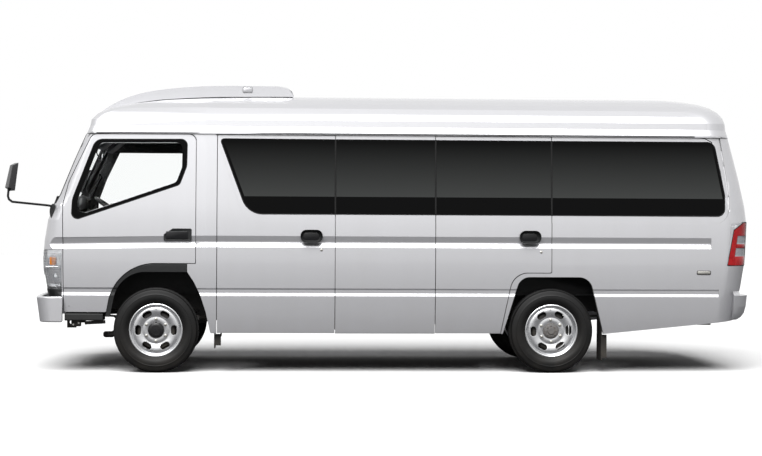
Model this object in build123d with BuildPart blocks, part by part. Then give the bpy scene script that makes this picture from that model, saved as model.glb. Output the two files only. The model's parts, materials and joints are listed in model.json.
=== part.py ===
"""A cab-over light truck that carries a closed minibus body, as separate pieces with real joints.

The front is at -X, the passenger doors are on the left at -Y, and the wheels stand on Z = 0.
The origin is on the ground, under the middle of the overall length. Lengths are in millimetres.
"""

import math
import os

from build123d import *

os.makedirs("parts", exist_ok=True)

# Overall sizes
wheelbase = 3350.0
mirror_reach = 1257.0
bumper_reach = 1045.0
rear_overhang = 1750.0
body_half_width = 935.0
roof_height = 2370.0
front_axle_x = (mirror_reach - wheelbase - rear_overhang) / 2
rear_axle_x = front_axle_x + wheelbase

# Fits and gaps
door_gap = 6.0
seat_clearance = 0.3
glass_edge_gap = 3.0
lamp_gap = 3.0
bearing_clearance = 0.05
moving_clearance = 8.0

# Body walls
wall = 45.0
glass_thickness = 6.0
window_recess = 8.0
screen_recess = 3.0
cab_taper = 55.0
cab_taper_length = 1180.0
taper_end_x = front_axle_x + 420.0
front_face_radius = 6500.0
rear_face_radius = 9000.0
rear_corner_radius = 220.0
front_corner_radius = 75.0
corner_widening = 0.06

# Heights of the body's lines
sill_bottom = 335.0
tail_bottom = 455.0
floor_top = 690.0
floor_thickness = 40.0
window_sill = 1338.0
window_head = 1977.0
door_head = 2010.0
roof_seam = 2078.0
cab_door_bottom = 508.0
cab_door_rear_bottom = 922.0
front_panel_bottom = 560.0

# Side-view places, from the front axle
cab_door_front_x = front_axle_x - 771.0
cab_door_rear_x = front_axle_x + 333.0
front_door_front_x = front_axle_x + 510.0
front_door_rear_x = front_axle_x + 1505.0

# Side-view places, from the rear axle
rear_door_front_x = rear_axle_x - 996.0
rear_door_rear_x = rear_axle_x - 7.0
roof_seam_rear_x = rear_axle_x + 1090.0
belt_groove_end_x = rear_axle_x + 1360.0
rocker_groove_end_x = rear_axle_x + 1428.0

# Tail
tailgate_half_width = 690.0
tailgate_bottom = 745.0
tailgate_top = 2052.0
rear_frame_half_width = 760.0

# Wheels
tyre_radius = 358.0
tyre_width = 204.0
rim_radius = 206.0
rim_width = 160.0
wheel_centre_y = 798.0
hub_radius = 68.0
spindle_radius = 24.0
kingpin_y = 670.0
kingpin_radius = 15.0
steering_arm_length = 150.0

# Chassis
rail_y = 372.0
rail_width = 60.0
rail_depth = 140.0
rail_wall = 6.0


def points_between(table, height):
    """Reads a straight-line profile of (height, value) points at one height."""
    for (low, start), (high, end) in zip(table, table[1:]):
        if height <= high:
            return start + (end - start) * (height - low) / (high - low)
    return table[-1][1]


# Centre-line profiles of the nose and the tail, and how far the flank lies inside its widest line
nose_profile = (
    (300, -905), (500, -925), (700, -965), (860, -992), (1010, -998), (1120, -988),
    (1280, -962), (1400, -916), (1500, -860), (1770, -747), (2010, -640), (roof_seam, -612),
)
tail_profile = (
    (300, 1600), (500, 1640), (740, 1692), (930, 1722), (1290, 1740), (1430, 1722),
    (1640, 1677), (1900, 1612), (2010, 1583), (roof_seam, 1562),
)
flank_profile = (
    (300, 40), (350, 30), (650, 8), (900, 0), (1060, 2), (1160, 5), (1280, 7),
    (door_head, 60), (2014, 46), (2030, 46), (roof_seam, 62),
)

# The roof closes in from its seam: how far the nose, tail and flanks draw in by its crown
roof_draw_front = 1800.0
roof_draw_rear = 500.0
roof_draw_side = 700.0
roof_front_growth = 350.0
roof_rear_growth = 200.0
end_power = 2.5
side_power = 2.2
roof_steps = 8


def crown(step, power):
    """Share of the draw that the roof has closed at one step of its rise, along a superellipse."""
    return 1.0 - (1.0 - step**power) ** (1.0 / power)


def half_outline(nose, tail, half, front_radius, rear_radius):
    """Points of the outline's left-hand half: nose, corner arc, cab line, flank line, corner arc, tail."""
    cab_half = half - cab_taper
    taper_end = max(taper_end_x, nose + front_radius + 300.0)
    lean = math.atan2(cab_taper, taper_end - nose - front_radius)
    turn = math.asin(cab_half / front_face_radius)
    front_y = cab_half - front_radius * (math.cos(lean) - math.sin(turn))
    turn = math.asin(front_y / front_face_radius)
    front_x = nose + front_face_radius * (1 - math.cos(turn))
    centre_x = front_x + front_radius * math.cos(turn)
    centre_y = front_y - front_radius * math.sin(turn)
    middle = (math.pi / 2 + lean + math.pi - turn) / 2
    front_arc = [(front_x, front_y)]
    for angle in (middle, math.pi / 2 + lean):
        along = centre_x + front_radius * math.cos(angle)
        front_arc.append((along, centre_y + front_radius * math.sin(angle)))
    turn = math.asin((half - rear_radius) / rear_face_radius)
    rear_y = half - rear_radius * (1 - math.sin(turn))
    turn = math.asin(rear_y / rear_face_radius)
    rear_x = tail - rear_face_radius * (1 - math.cos(turn))
    centre_x = rear_x - rear_radius * math.cos(turn)
    centre_y = rear_y - rear_radius * math.sin(turn)
    rear_arc = []
    for angle in (math.pi / 2, (math.pi / 2 + turn) / 2, turn):
        along = centre_x + rear_radius * math.cos(angle)
        rear_arc.append((along, centre_y + rear_radius * math.sin(angle)))
    return front_arc, (taper_end, half), rear_arc


def plan_section(height, nose, tail, half, front_radius, rear_radius):
    """One horizontal outline of the body."""
    front_arc, taper_end, rear_arc = half_outline(nose, tail, half, front_radius, rear_radius)
    with BuildSketch(Plane.XY.offset(height)) as section:
        with BuildLine():
            ThreePointArc((front_arc[0][0], -front_arc[0][1]), (nose, 0), front_arc[0])
            ThreePointArc(*front_arc)
            Line(front_arc[2], taper_end)
            Line(taper_end, rear_arc[0])
            ThreePointArc(*rear_arc)
            ThreePointArc(rear_arc[2], (tail, 0), (rear_arc[2][0], -rear_arc[2][1]))
            ThreePointArc(*[(x, -y) for x, y in reversed(rear_arc)])
            Line((rear_arc[0][0], -rear_arc[0][1]), (taper_end[0], -taper_end[1]))
            Line((taper_end[0], -taper_end[1]), (front_arc[2][0], -front_arc[2][1]))
            ThreePointArc(*[(x, -y) for x, y in reversed(front_arc)])
        make_face()
    return section.sketch


def body_solid(depth, low=300.0, with_roof=True):
    """The closed body, drawn in by a depth all round, from a low level up."""
    heights = {point[0] for table in (nose_profile, tail_profile, flank_profile) for point in table}
    sections = []
    for height in sorted(level for level in heights if level >= low):
        nose = front_axle_x + points_between(nose_profile, height) + depth
        tail = rear_axle_x + points_between(tail_profile, height) - depth
        half = body_half_width - points_between(flank_profile, height) - depth
        front_radius = front_corner_radius + corner_widening * (roof_seam - height) - min(depth, 50.0)
        sections.append(plan_section(height, nose, tail, half, front_radius, rear_corner_radius - depth))
    roof_rise = roof_height - roof_seam - depth
    for number in range(1, roof_steps + 1 if with_roof else 1):
        step = math.sin(math.radians(90.0 * number / roof_steps))
        nose = front_axle_x + nose_profile[-1][1] + depth + roof_draw_front * crown(step, end_power)
        tail = rear_axle_x + tail_profile[-1][1] - depth - roof_draw_rear * crown(step, end_power)
        half = body_half_width - flank_profile[-1][1] - depth - roof_draw_side * crown(step, side_power)
        grown_radius = front_corner_radius + roof_front_growth * crown(step, side_power)
        front_radius = min(grown_radius, 0.8 * (half - cab_taper))
        rear_radius = min(rear_corner_radius - depth + roof_rear_growth * crown(step, side_power), 0.8 * half)
        height = roof_seam + roof_rise * step
        sections.append(plan_section(height, nose, tail, half, front_radius, rear_radius))
    with BuildPart() as body:
        loft(sections=sections, ruled=True)
    return body.part


def outline(plane, corners, grow=0.0):
    """A closed outline with rounded corners, each corner as (across, up, radius), grown or shrunk."""
    with BuildSketch(plane) as section:
        with BuildLine():
            Polyline(*[(corner[0], corner[1]) for corner in corners], close=True)
        make_face()
        if grow:
            offset(amount=grow, kind=Kind.INTERSECTION)
        for across, up, radius in corners:
            if radius:
                fillet(section.vertices().sort_by_distance((across, up, 0))[0], radius)
    return section.sketch


def side_prism(corners, grow=0.0, low=-1300.0, high=1300.0):
    """A prism along Y on a side-view outline."""
    with BuildPart() as prism:
        extrude(outline(Plane.XZ.offset(-high), corners, grow), amount=high - low)
    return prism.part


def end_prism(corners, low, high, grow=0.0):
    """A prism along X on an end-view outline."""
    with BuildPart() as prism:
        extrude(outline(Plane.YZ.offset(low), corners, grow), amount=high - low)
    return prism.part


def block(low, high):
    """A plain box between two corners."""
    with BuildPart() as box:
        with Locations(tuple((a + b) / 2 for a, b in zip(low, high))):
            Box(*[b - a for a, b in zip(low, high)])
    return box.part


def rod(start, end, radius, bore=0.0):
    """A round bar or tube from one point to another."""
    with BuildPart() as bar:
        with BuildSketch(Plane(origin=start, z_dir=Vector(*end) - Vector(*start))):
            Circle(radius)
            if bore:
                Circle(bore, mode=Mode.SUBTRACT)
        extrude(amount=(Vector(*end) - Vector(*start)).length)
    return bar.part


def mirrored(part):
    """The same piece on the other flank."""
    return mirror(part, about=Plane.XZ, mode=Mode.PRIVATE)


def cut_from(base, *cutters):
    """A piece with others taken out of it."""
    with BuildPart() as piece:
        add(base)
        for cutter in cutters:
            add(cutter, mode=Mode.SUBTRACT)
    return piece.part


def common(base, other):
    """What two solids share."""
    with BuildPart() as piece:
        add(base)
        add(other, mode=Mode.INTERSECT)
    return piece.part


def save(name, *pieces):
    """Writes one node, whose pieces join where they touch."""
    with BuildPart() as node:
        for piece in pieces:
            add(piece)
    node.part.label = name
    export_step(node.part, f"parts/{name}.step")
    return node.part


def front(x):
    """A place measured rearwards from the front axle."""
    return front_axle_x + x


def rear(x):
    """A place measured rearwards from the rear axle."""
    return rear_axle_x + x


# Side-view outlines
far = 1200.0
cab_door_outline = (
    (cab_door_front_x, cab_door_bottom, 12), (front(-783), 1412, 200), (front(-738), 1600, 200),
    (front(-543), door_head, 70), (cab_door_rear_x, door_head, 60),
    (cab_door_rear_x, cab_door_rear_bottom, 8),
    (front(-336), cab_door_rear_bottom, 400), (front(-415), cab_door_bottom, 10),
)
cab_window_outline = (
    (front(-716), 1266, 55), (front(-706), 1460, 200), (front(-515), 1968, 90), (front(262), 1971, 55),
    (front(258), 1740, 120), (front(198), 1580, 50),
)
flare_outline = (
    (front(264), cab_door_rear_bottom - 2, 0), (front(-336), cab_door_rear_bottom - 2, 400),
    (front(-422), 470, 0), (front(264), 470, 0),
)
front_arch_outline = (
    (front(264), 851, 0), (front(-307), 851, 270), (front(-395), 430, 0), (front(480), 300, 0),
    (front(455), 346, 0), (front(419), 515, 0), (front(376), 649, 150), (front(320), 767, 150),
)
rear_arch_outline = (
    (rear(-430), 300, 0), (rear(-275), 818, 110), (rear(321), 818, 120), (rear(452), 300, 0),
)
front_door_outline = (
    (front_door_front_x, sill_bottom, 4), (front_door_front_x, door_head, 4),
    (front_door_rear_x, door_head, 4), (front_door_rear_x, sill_bottom, 4),
)
rear_door_outline = (
    (rear_door_front_x, sill_bottom, 4), (rear_door_front_x, door_head, 4), (rear_door_rear_x, door_head, 4),
    (rear_door_rear_x, 852, 15), (rear(-331), 852, 150), (rear(-439), sill_bottom, 4),
)
window_outline = (
    (front(527), window_head, 25), (front(766), window_sill, 180), (rear(1482), window_sill, 65),
    (rear(1484), 1520, 150), (rear(1395), window_head, 75),
)
recess_outline = (
    (front(496), door_head, 0), (front(740), 1276, 200), (rear(1512), 1276, 130),
    (rear(1518), 1520, 150), (rear(1450), door_head, 0),
)

# Shell of the body, with its swage lines and its window band
outer = body_solid(0.0)
inner = body_solid(wall)
recess_back = body_solid(window_recess, 1120.0, False)
glass_back = body_solid(window_recess + glass_thickness, 1120.0, False)
glass_seat = body_solid(window_recess + glass_thickness + seat_clearance, 1120.0, False)
screen_face = body_solid(screen_recess, 1120.0, False)
screen_back = body_solid(screen_recess + glass_thickness, 1120.0, False)
screen_seat = body_solid(screen_recess + glass_thickness + seat_clearance, 1120.0, False)


def swage(low, deep_low, deep_high, high, depth, drop, end_x):
    """A groove along both flanks, straight behind the cab and following its taper and drop ahead."""
    widest = -body_half_width
    corners = (
        (widest - 12, low - 4, 0), (widest + points_between(flank_profile, low), low, 0),
        (widest + depth, deep_low, 6), (widest + depth, deep_high, 6),
        (widest + points_between(flank_profile, high), high, 0), (widest - 12, high + 4, 0),
    )
    profile = outline(Plane.YZ.offset(taper_end_x), corners)
    lean = cab_taper / cab_taper_length
    with BuildPart() as groove:
        extrude(profile, amount=end_x - taper_end_x)
        extrude(profile, amount=1400.0, dir=(-1.0, lean, -drop))
    with BuildPart() as both:
        add(groove.part)
        mirror(groove.part, about=Plane.XZ)
    return both.part


belt_groove = swage(1062, 1098, 1108, 1157, 17, 0.017, belt_groove_end_x)
rocker_groove = swage(651, 676, 704, 717, 14, 0.0, rocker_groove_end_x)
recess = cut_from(side_prism(recess_outline), recess_back)
window_rebate = cut_from(side_prism(window_outline), glass_seat)
cab_window_rebate = cut_from(side_prism(cab_window_outline), screen_seat)
shell = cut_from(outer, inner, belt_groove, rocker_groove, recess)

# Tail cut: the skirt rises behind the rear wheels
skirt_outline = (
    (rear(400), 100, 0), (rear(443), sill_bottom, 0), (rear(1640), tail_bottom, 0), (rear(1900), 480, 0),
    (rear(1900), 100, 0),
)
below_sill = block((front(-2000), -far, 0), (rear(2500), far, sill_bottom))
skirt_cut = side_prism(skirt_outline)
above_seam = block((front(-2000), -far, roof_seam), (rear(2500), far, 3000.0))
lower_shell = cut_from(shell, below_sill, skirt_cut, above_seam)

# Doors on the left flank, then the right-hand cab door
lip = 35.0


def bay(low_x, high_x):
    """A slice of the body between two places along it."""
    return block((low_x, -far, 0.0), (high_x, far, 3000.0))


left_half = block((front(-2000), -far, 0.0), (rear(2500), 0.0, 3000.0))
left_shell = common(lower_shell, left_half)
band_hole = side_prism(window_outline, -lip)
cab_door = common(left_shell, side_prism(cab_door_outline, -door_gap / 2))
cab_door = cut_from(cab_door, cab_window_rebate, side_prism(cab_window_outline, -lip))
cab_glass = common(
    cut_from(screen_face, screen_back), side_prism(cab_window_outline, -glass_edge_gap, high=0.0)
)
save("cab_door_left", cab_door)
save("cab_door_glass_left", cab_glass)
save("cab_door_right", mirrored(cab_door))
save("cab_door_glass_right", mirrored(cab_glass))


glass_band = cut_from(common(recess_back, side_prism(window_outline, -glass_edge_gap)), glass_back)


def flank_glass(low_x, high_x, low_y, high_y):
    """One pane of the flush band of glass between two places along the body."""
    return common(glass_band, block((low_x, low_y, 0.0), (high_x, high_y, 3000.0)))


def passenger_door(name, corners, low_x, high_x):
    """A door in the left flank and its pane, which reaches the door's edges where the band runs on."""
    leaf = common(left_shell, side_prism(corners, -door_gap / 2))
    hole = common(band_hole, bay(low_x + lip, high_x - lip))
    leaf = cut_from(leaf, window_rebate, hole)
    pane = flank_glass(low_x + door_gap / 2, high_x - door_gap / 2, -1300.0, 0.0)
    save(f"{name}_door", leaf)
    save(f"{name}_door_glass", pane)


passenger_door("front_passenger", front_door_outline, front_door_front_x, front_door_rear_x)
passenger_door("rear_passenger", rear_door_outline, rear_door_front_x, rear_door_rear_x)

# Tail lamps, in the rear corners
tail_lamp_outline = (
    (rear(1500), 921, 8), (rear(1950), 921, 0), (rear(1950), 1292, 0), (rear(1645), 1292, 0),
    (rear(1534), 1262, 10), (rear(1523), 1126, 0),
)
lamp_inner_y = rear_frame_half_width + 10.0
tail_high = (rear(2500), rear_frame_half_width, 3000.0)
middle_of_tail = block((front(-2000), -rear_frame_half_width, 0.0), tail_high)
lamp_middle = block((front(-2000), -lamp_inner_y, 0.0), (rear(2500), lamp_inner_y, 3000.0))
lamp_blocks = cut_from(side_prism(tail_lamp_outline), lamp_middle)
lamp_wells = cut_from(side_prism(tail_lamp_outline, lamp_gap), lamp_middle)
save("tail_lamps", common(lower_shell, lamp_blocks))

# Body sides, behind the cab doors
tail_zone = common(middle_of_tail, bay(rear(1450), rear(2500)))
cab_zone_outline = (
    (front(-2000), 200, 0), (front(-2000), 2200, 0), (cab_door_rear_x, 2200, 0),
    (cab_door_rear_x, cab_door_rear_bottom, 0), (front(264), cab_door_rear_bottom, 0), (front(264), 200, 0),
)
cab_zone = side_prism(cab_zone_outline)

# Sealing flanges behind the free edges of the doors, which rest against them when shut
stop_sheet = 8.0
stop_reach = 24.0
stop_back = body_solid(wall + stop_sheet)
shut_face = body_solid(wall + seat_clearance)
stop_layer = cut_from(inner, stop_back)
stop_top = 1960.0
gate_stop_half = 400.0


def door_stop(corners, edge_x, bottom):
    """The flange behind the rear edge of a door."""
    edge_block = block((edge_x - stop_reach, -far, bottom), (edge_x + stop_reach, 0.0, stop_top))
    strip = common(stop_layer, edge_block)
    return cut_from(strip, cut_from(side_prism(corners, door_gap / 2, -far, 0.0), shut_face))


cab_stop = door_stop(cab_door_outline, cab_door_rear_x, cab_door_rear_bottom + 30.0)
front_door_stop = door_stop(front_door_outline, front_door_rear_x, floor_top + 30.0)
rear_door_stop = door_stop(rear_door_outline, rear_door_rear_x, 870.0)
gate_stop = common(stop_layer, block(
    (rear(1300), -gate_stop_half, tailgate_bottom - stop_reach),
    (rear(2300), gate_stop_half, tailgate_bottom + stop_reach),
))
gate_relief = block(
    (rear(1300), -gate_stop_half - 1.0, tailgate_bottom - door_gap), (rear(2300), gate_stop_half + 1.0, 900.0)
)
gate_stop = cut_from(gate_stop, cut_from(gate_relief, shut_face))
front_arch = side_prism(front_arch_outline)
rear_arch = side_prism(rear_arch_outline)
cab_door_opening = side_prism(cab_door_outline, door_gap / 2)
side_shell = cut_from(
    lower_shell, cab_zone, cab_door_opening, front_arch, rear_arch, tail_zone, lamp_wells, window_rebate
)
left_side = common(side_shell, left_half)
left_side = cut_from(
    left_side,
    side_prism(front_door_outline, door_gap / 2),
    side_prism(rear_door_outline, door_gap / 2),
    common(band_hole, bay(front_door_rear_x + lip, rear_door_front_x - lip)),
    common(band_hole, bay(rear_door_rear_x + lip, rear(2000))),
)
save("left_side_panel", left_side, cab_stop, front_door_stop, rear_door_stop)
right_side = cut_from(
    side_shell,
    left_half,
    common(band_hole, bay(front_door_front_x, front_door_rear_x - lip)),
    common(band_hole, bay(front_door_rear_x + lip, rear_door_front_x - lip)),
    common(band_hole, bay(rear_door_front_x + lip, rear_door_rear_x - lip)),
    common(band_hole, bay(rear_door_rear_x + lip, rear(2000))),
)
save("right_side_panel", right_side, mirrored(cab_stop))

seams = (front(400), front_door_rear_x, rear_door_front_x, rear_door_rear_x, rear(2000))
panes = [
    flank_glass(front_door_rear_x + door_gap / 2, rear_door_front_x - door_gap / 2, -1300.0, 0.0),
    flank_glass(rear_door_rear_x + door_gap / 2, rear(2000), -1300.0, 0.0),
]
for start, end in zip(seams, seams[1:]):
    panes.append(flank_glass(start + door_gap / 2, end - door_gap / 2, 0.0, 1300.0))
save("side_windows", *panes)

# Front panel: nose, screen pillars and the rails over the cab doors
windscreen_outline = ((-800, 1405, 50), (-752, 2012, 60), (752, 2012, 60), (800, 1405, 50))
headlamp_outline = ((520, 706, 20), (540, 1032, 30), (1000, 1032, 0), (1000, 706, 0))
headlamp_rear_x = front(-790)
screen_start = front(-1300)
screen_end = front(-400)
nose_shell = common(lower_shell, cab_zone)
below_nose = block((front(-2000), -far, 0.0), (front(600), far, front_panel_bottom))
headlamp_zone = end_prism(headlamp_outline, screen_start, headlamp_rear_x)
headlamp_well = end_prism(headlamp_outline, screen_start, headlamp_rear_x + lamp_gap, lamp_gap)
nose = cut_from(
    nose_shell,
    below_nose,
    cab_door_opening,
    side_prism(flare_outline, seat_clearance),
    cut_from(end_prism(windscreen_outline, screen_start, screen_end), screen_seat),
    end_prism(windscreen_outline, screen_start, screen_end, -lip),
    headlamp_well,
    mirrored(headlamp_well),
)
save("front_panel", nose)
pane = end_prism(windscreen_outline, screen_start, screen_end, -glass_edge_gap)
save("windscreen", common(cut_from(screen_face, screen_back), pane))
headlamp = common(nose_shell, headlamp_zone)
save("headlamps", headlamp, mirrored(headlamp))
flare = common(left_shell, cut_from(side_prism(flare_outline, -seat_clearance), front_arch))
flare = cut_from(flare, cab_door_opening)
save("arch_flares", flare, mirrored(flare))

# Roof and rear frame
roof_seam_outline = (
    (roof_seam_rear_x, roof_seam, 0), (roof_seam_rear_x + 140, 2400, 0), (rear(2400), 2400, 0),
    (rear(2400), roof_seam, 0),
)
roof_tail = side_prism(roof_seam_outline)
upper_shell = common(shell, above_seam)
save("roof_panel", cut_from(upper_shell, roof_tail))
tailgate_outline = (
    (-tailgate_half_width, tailgate_bottom, 30), (-tailgate_half_width + 25, tailgate_top, 60),
    (tailgate_half_width - 25, tailgate_top, 60), (tailgate_half_width, tailgate_bottom, 30),
)
tail_start = rear(1300)
tail_end = rear(2300)
gate_opening = end_prism(tailgate_outline, tail_start, tail_end, door_gap / 2)
gate_zone = end_prism(tailgate_outline, tail_start, tail_end, -door_gap / 2)
gate_glass_outline = ((-600, 1345, 70), (-585, 1955, 70), (585, 1955, 70), (600, 1345, 70))
lower_tail = common(lower_shell, tail_zone)
save("rear_frame", common(upper_shell, roof_tail), cut_from(lower_tail, gate_opening), gate_stop)
tailgate = cut_from(
    common(lower_tail, gate_zone),
    cut_from(end_prism(gate_glass_outline, tail_start, tail_end), screen_seat),
    end_prism(gate_glass_outline, tail_start, tail_end, -lip),
)
save("tailgate", tailgate)
gate_pane = end_prism(gate_glass_outline, tail_start, tail_end, -glass_edge_gap)
save("tailgate_glass", common(cut_from(screen_face, screen_back), gate_pane))

# Floors: the saloon floor with its step wells, and the cab floor with its seat box
floor_bottom = floor_top - floor_thickness
floor_half_width = body_half_width - points_between(flank_profile, floor_bottom) - wall
cab_back = front(440)
floor_rear_x = rear(1560)
well_sheet = 30.0
well_bottom = 395.0
well_inner_y = -530.0
well_outer_y = -body_half_width + points_between(flank_profile, well_bottom) + wall + moving_clearance
well_edge = 60.0
rear_housing_inner_y = 620.0
housing_top = 848.0
housing_outline = (
    (rear(-445), floor_bottom, 0), (rear(-285), housing_top, 125), (rear(335), housing_top, 135),
    (rear(440), floor_bottom, 0),
)
saloon_floor = block((cab_back, -floor_half_width, floor_bottom), (floor_rear_x, floor_half_width, floor_top))
floor_cutters = []
well_boxes = []
for well_front, well_back in (
    (front_door_front_x + well_edge, front_door_rear_x - well_edge),
    (rear_door_front_x + well_edge, rear(-480)),
):
    outside = block((well_front, well_outer_y, well_bottom), (well_back, well_inner_y, floor_bottom))
    inside_low = (well_front + well_sheet, well_outer_y - 1.0, well_bottom + well_sheet)
    inside_high = (well_back - well_sheet, well_inner_y - well_sheet, floor_top + 1.0)
    inside = block(inside_low, inside_high)
    floor_cutters.append(inside)
    well_boxes.append(cut_from(outside, inside))
for side in (-1, 1):
    low_y, high_y = sorted((side * rear_housing_inner_y, side * (floor_half_width + 5.0)))
    floor_cutters.append(side_prism(housing_outline, 0.0, low_y, high_y))
for door_start, door_end in ((front_door_front_x, front_door_rear_x), (rear_door_front_x, rear_door_rear_x)):
    low = (door_start - moving_clearance, -body_half_width, 0.0)
    high = (door_end + moving_clearance, moving_clearance - floor_half_width, 1000.0)
    floor_cutters.append(block(low, high))
save("floor", cut_from(common(saloon_floor, shut_face), *floor_cutters), *well_boxes)

cab_floor_half = 790.0
cab_floor_front_x = front(-870)
seat_box_top = 920.0
seat_box_front = front(-440)
sheet = floor_thickness
cab_floor_outline = (
    (cab_floor_front_x, floor_bottom, 0), (cab_floor_front_x, floor_top, 0),
    (seat_box_front - sheet, floor_top, 0),
    (seat_box_front - sheet, seat_box_top, 20), (cab_back, seat_box_top, 20), (cab_back, floor_bottom, 0),
    (cab_back - sheet, floor_bottom, 0), (cab_back - sheet, seat_box_top - sheet, 0),
    (seat_box_front, seat_box_top - sheet, 0), (seat_box_front, floor_bottom, 0),
)
save("cab_floor", common(side_prism(cab_floor_outline, 0.0, -cab_floor_half, cab_floor_half), shut_face))

# Wheel housings: rear arches over the wheels, and inner walls under the cab's seat box
housing_sheet = 15.0
front_housing_y = 440.0
under_housing = block((rear(-600), 0.0, 0.0), (rear(600), far, floor_bottom + housing_sheet + 0.01))
arch_ring = cut_from(
    side_prism(housing_outline, 0.0, rear_housing_inner_y, floor_half_width - moving_clearance),
    side_prism(housing_outline, -housing_sheet, rear_housing_inner_y + housing_sheet, far),
    under_housing,
)
front_wall = block(
    (seat_box_front, front_housing_y - housing_sheet, floor_bottom),
    (cab_back - sheet, front_housing_y, seat_box_top - sheet),
)
save("wheel_housings", arch_ring, mirrored(arch_ring), front_wall, mirrored(front_wall))

# Chassis frame: two channel rails, their cross members, the spring hangers and the towing eyes
rail_low = floor_bottom - rail_depth
rail_front = front(-800)
rail_back = rear(1500)
cross_places = (front(-760), front(1000), front(1750), rear(-620), rear(640), rear(1440))
cross_length = 80.0
cross_depth = 70.0
cross_low = floor_bottom - 20.0 - cross_depth
spring_half = 600.0
spring_width = 64.0
spring_eye_radius = 21.0
spring_drop = 12.0
eye_z = rail_low - seat_clearance - spring_eye_radius - spring_drop
hanger_half = 35.0
tow_eye_radius = 18.0
tow_lug_length = 80.0
tow_lug_sheet = 16.0
tow_eye_x = front(-760)
tow_eye_z = 397.0
rear_tow_eye_x = rear(1535)
rear_tow_eye_z = 410.0
rear_lug_sheet = 30.0
eye_edge = 30.0
with BuildPart() as chassis:
    with BuildSketch(Plane.YZ.offset(rail_front)):
        for side in (-1, 1):
            with Locations((side * rail_y, rail_low + rail_depth / 2)):
                Rectangle(rail_width, rail_depth)
            with Locations((side * (rail_y - rail_wall), rail_low + rail_depth / 2)):
                Rectangle(rail_width - rail_wall, rail_depth - 2 * rail_wall, mode=Mode.SUBTRACT)
    extrude(amount=rail_back - rail_front)
    for place in cross_places:
        with Locations((place, 0.0, cross_low + cross_depth / 2)):
            Box(cross_length, 2 * rail_y + rail_width - 2 * rail_wall, cross_depth)
hangers = []
for axle_x in (front_axle_x, rear_axle_x):
    for end in (-spring_half, spring_half):
        for side in (-1, 1):
            low = (axle_x + end - hanger_half, side * rail_y - spring_width / 2, rail_low - spring_drop)
            high = (axle_x + end + hanger_half, side * rail_y + spring_width / 2, rail_low)
            hangers.append(block(low, high))


def tow_lug(middle_y, eye_x, eye_height, lug_sheet, low_x, high_x, high_z):
    """A plate under the frame, bored across for a shackle's pin."""
    low = (low_x, middle_y - lug_sheet / 2, eye_height - tow_eye_radius - eye_edge)
    lug = block(low, (high_x, middle_y + lug_sheet / 2, high_z))
    pin_ends = [(eye_x, middle_y + side * lug_sheet, eye_height) for side in (-1, 1)]
    pin = rod(*pin_ends, tow_eye_radius)
    return cut_from(lug, pin)


tow_lugs = [
    tow_lug(0.0, rear_tow_eye_x, rear_tow_eye_z, rear_lug_sheet, rear(1460), rear(1580), cross_low + 5.0),
]
for side in (-1, 1):
    lug_low_x = tow_eye_x - tow_lug_length / 2
    lug_high_x = tow_eye_x + tow_lug_length / 2
    eye = (side * rail_y, tow_eye_x, tow_eye_z)
    tow_lugs.append(tow_lug(*eye, tow_lug_sheet, lug_low_x, lug_high_x, rail_low))
save("chassis_frame", chassis.part, *hangers, *tow_lugs)

# Leaf springs, each a bow that is thickest over its axle
axle_beam_top = 403.0
spring_seat = 60.0
spring_middle_depth = 42.0
leaf_low = eye_z - 8.0
leaf_high = eye_z + 2.0
springs = []
for axle_x, seat_z in ((front_axle_x, axle_beam_top), (rear_axle_x, tyre_radius + spring_seat)):
    first_x = axle_x - spring_half
    leaf_crest = seat_z + spring_middle_depth
    last_x = axle_x + spring_half
    with BuildPart() as spring:
        with BuildSketch(Plane.XZ.offset(-rail_y - spring_width / 2)):
            with BuildLine():
                ThreePointArc((first_x, leaf_low), (axle_x, seat_z + seat_clearance), (last_x, leaf_low))
                Line((last_x, leaf_low), (last_x, leaf_high))
                ThreePointArc((last_x, leaf_high), (axle_x, leaf_crest), (first_x, leaf_high))
                Line((first_x, leaf_high), (first_x, leaf_low))
            make_face()
            with Locations((first_x, eye_z), (last_x, eye_z)):
                Circle(spring_eye_radius)
        extrude(amount=spring_width)
    springs += [spring.part, mirrored(spring.part)]
save("leaf_springs", *springs)

# Front axle beam with its kingpins
beam_width = 70.0
beam_depth = 80.0
neck_length = 40.0
eye_block_height = 80.0
eye_block_radius = 32.0
pin_reach = 36.0
with BuildPart() as beam:
    with Locations((front_axle_x, 0.0, axle_beam_top - beam_depth / 2)):
        Box(beam_width, 2 * (kingpin_y - neck_length), beam_depth)
    with Locations((front_axle_x, 0.0, tyre_radius)):
        Box(beam_width - 10.0, 2 * kingpin_y, eye_block_height - 10.0)
    for side in (-1, 1):
        with Locations((front_axle_x, side * kingpin_y, tyre_radius)):
            Cylinder(eye_block_radius, eye_block_height)
            Cylinder(kingpin_radius, eye_block_height + 2 * pin_reach)
save("front_axle_beam", beam.part)

# Steering knuckles: two lugs on the kingpin, a web, the wheel spindle and the steering arm
lug_gap = 1.0
lug_height = 32.0
web_y = 745.0
web_sheet = 26.0
spindle_end = 868.0
arm_sheet = 18.0
arm_width = 34.0
arm_top = tyre_radius - eye_block_height / 2 - lug_gap - 10.0
ball_radius = 9.0
tie_rod_z = 268.0
tie_rod_radius = 10.0
tie_eye_radius = 20.0
tie_eye_height = 22.0
open_end_clearance = 1.0
tie_rod_x = front_axle_x + steering_arm_length


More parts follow.
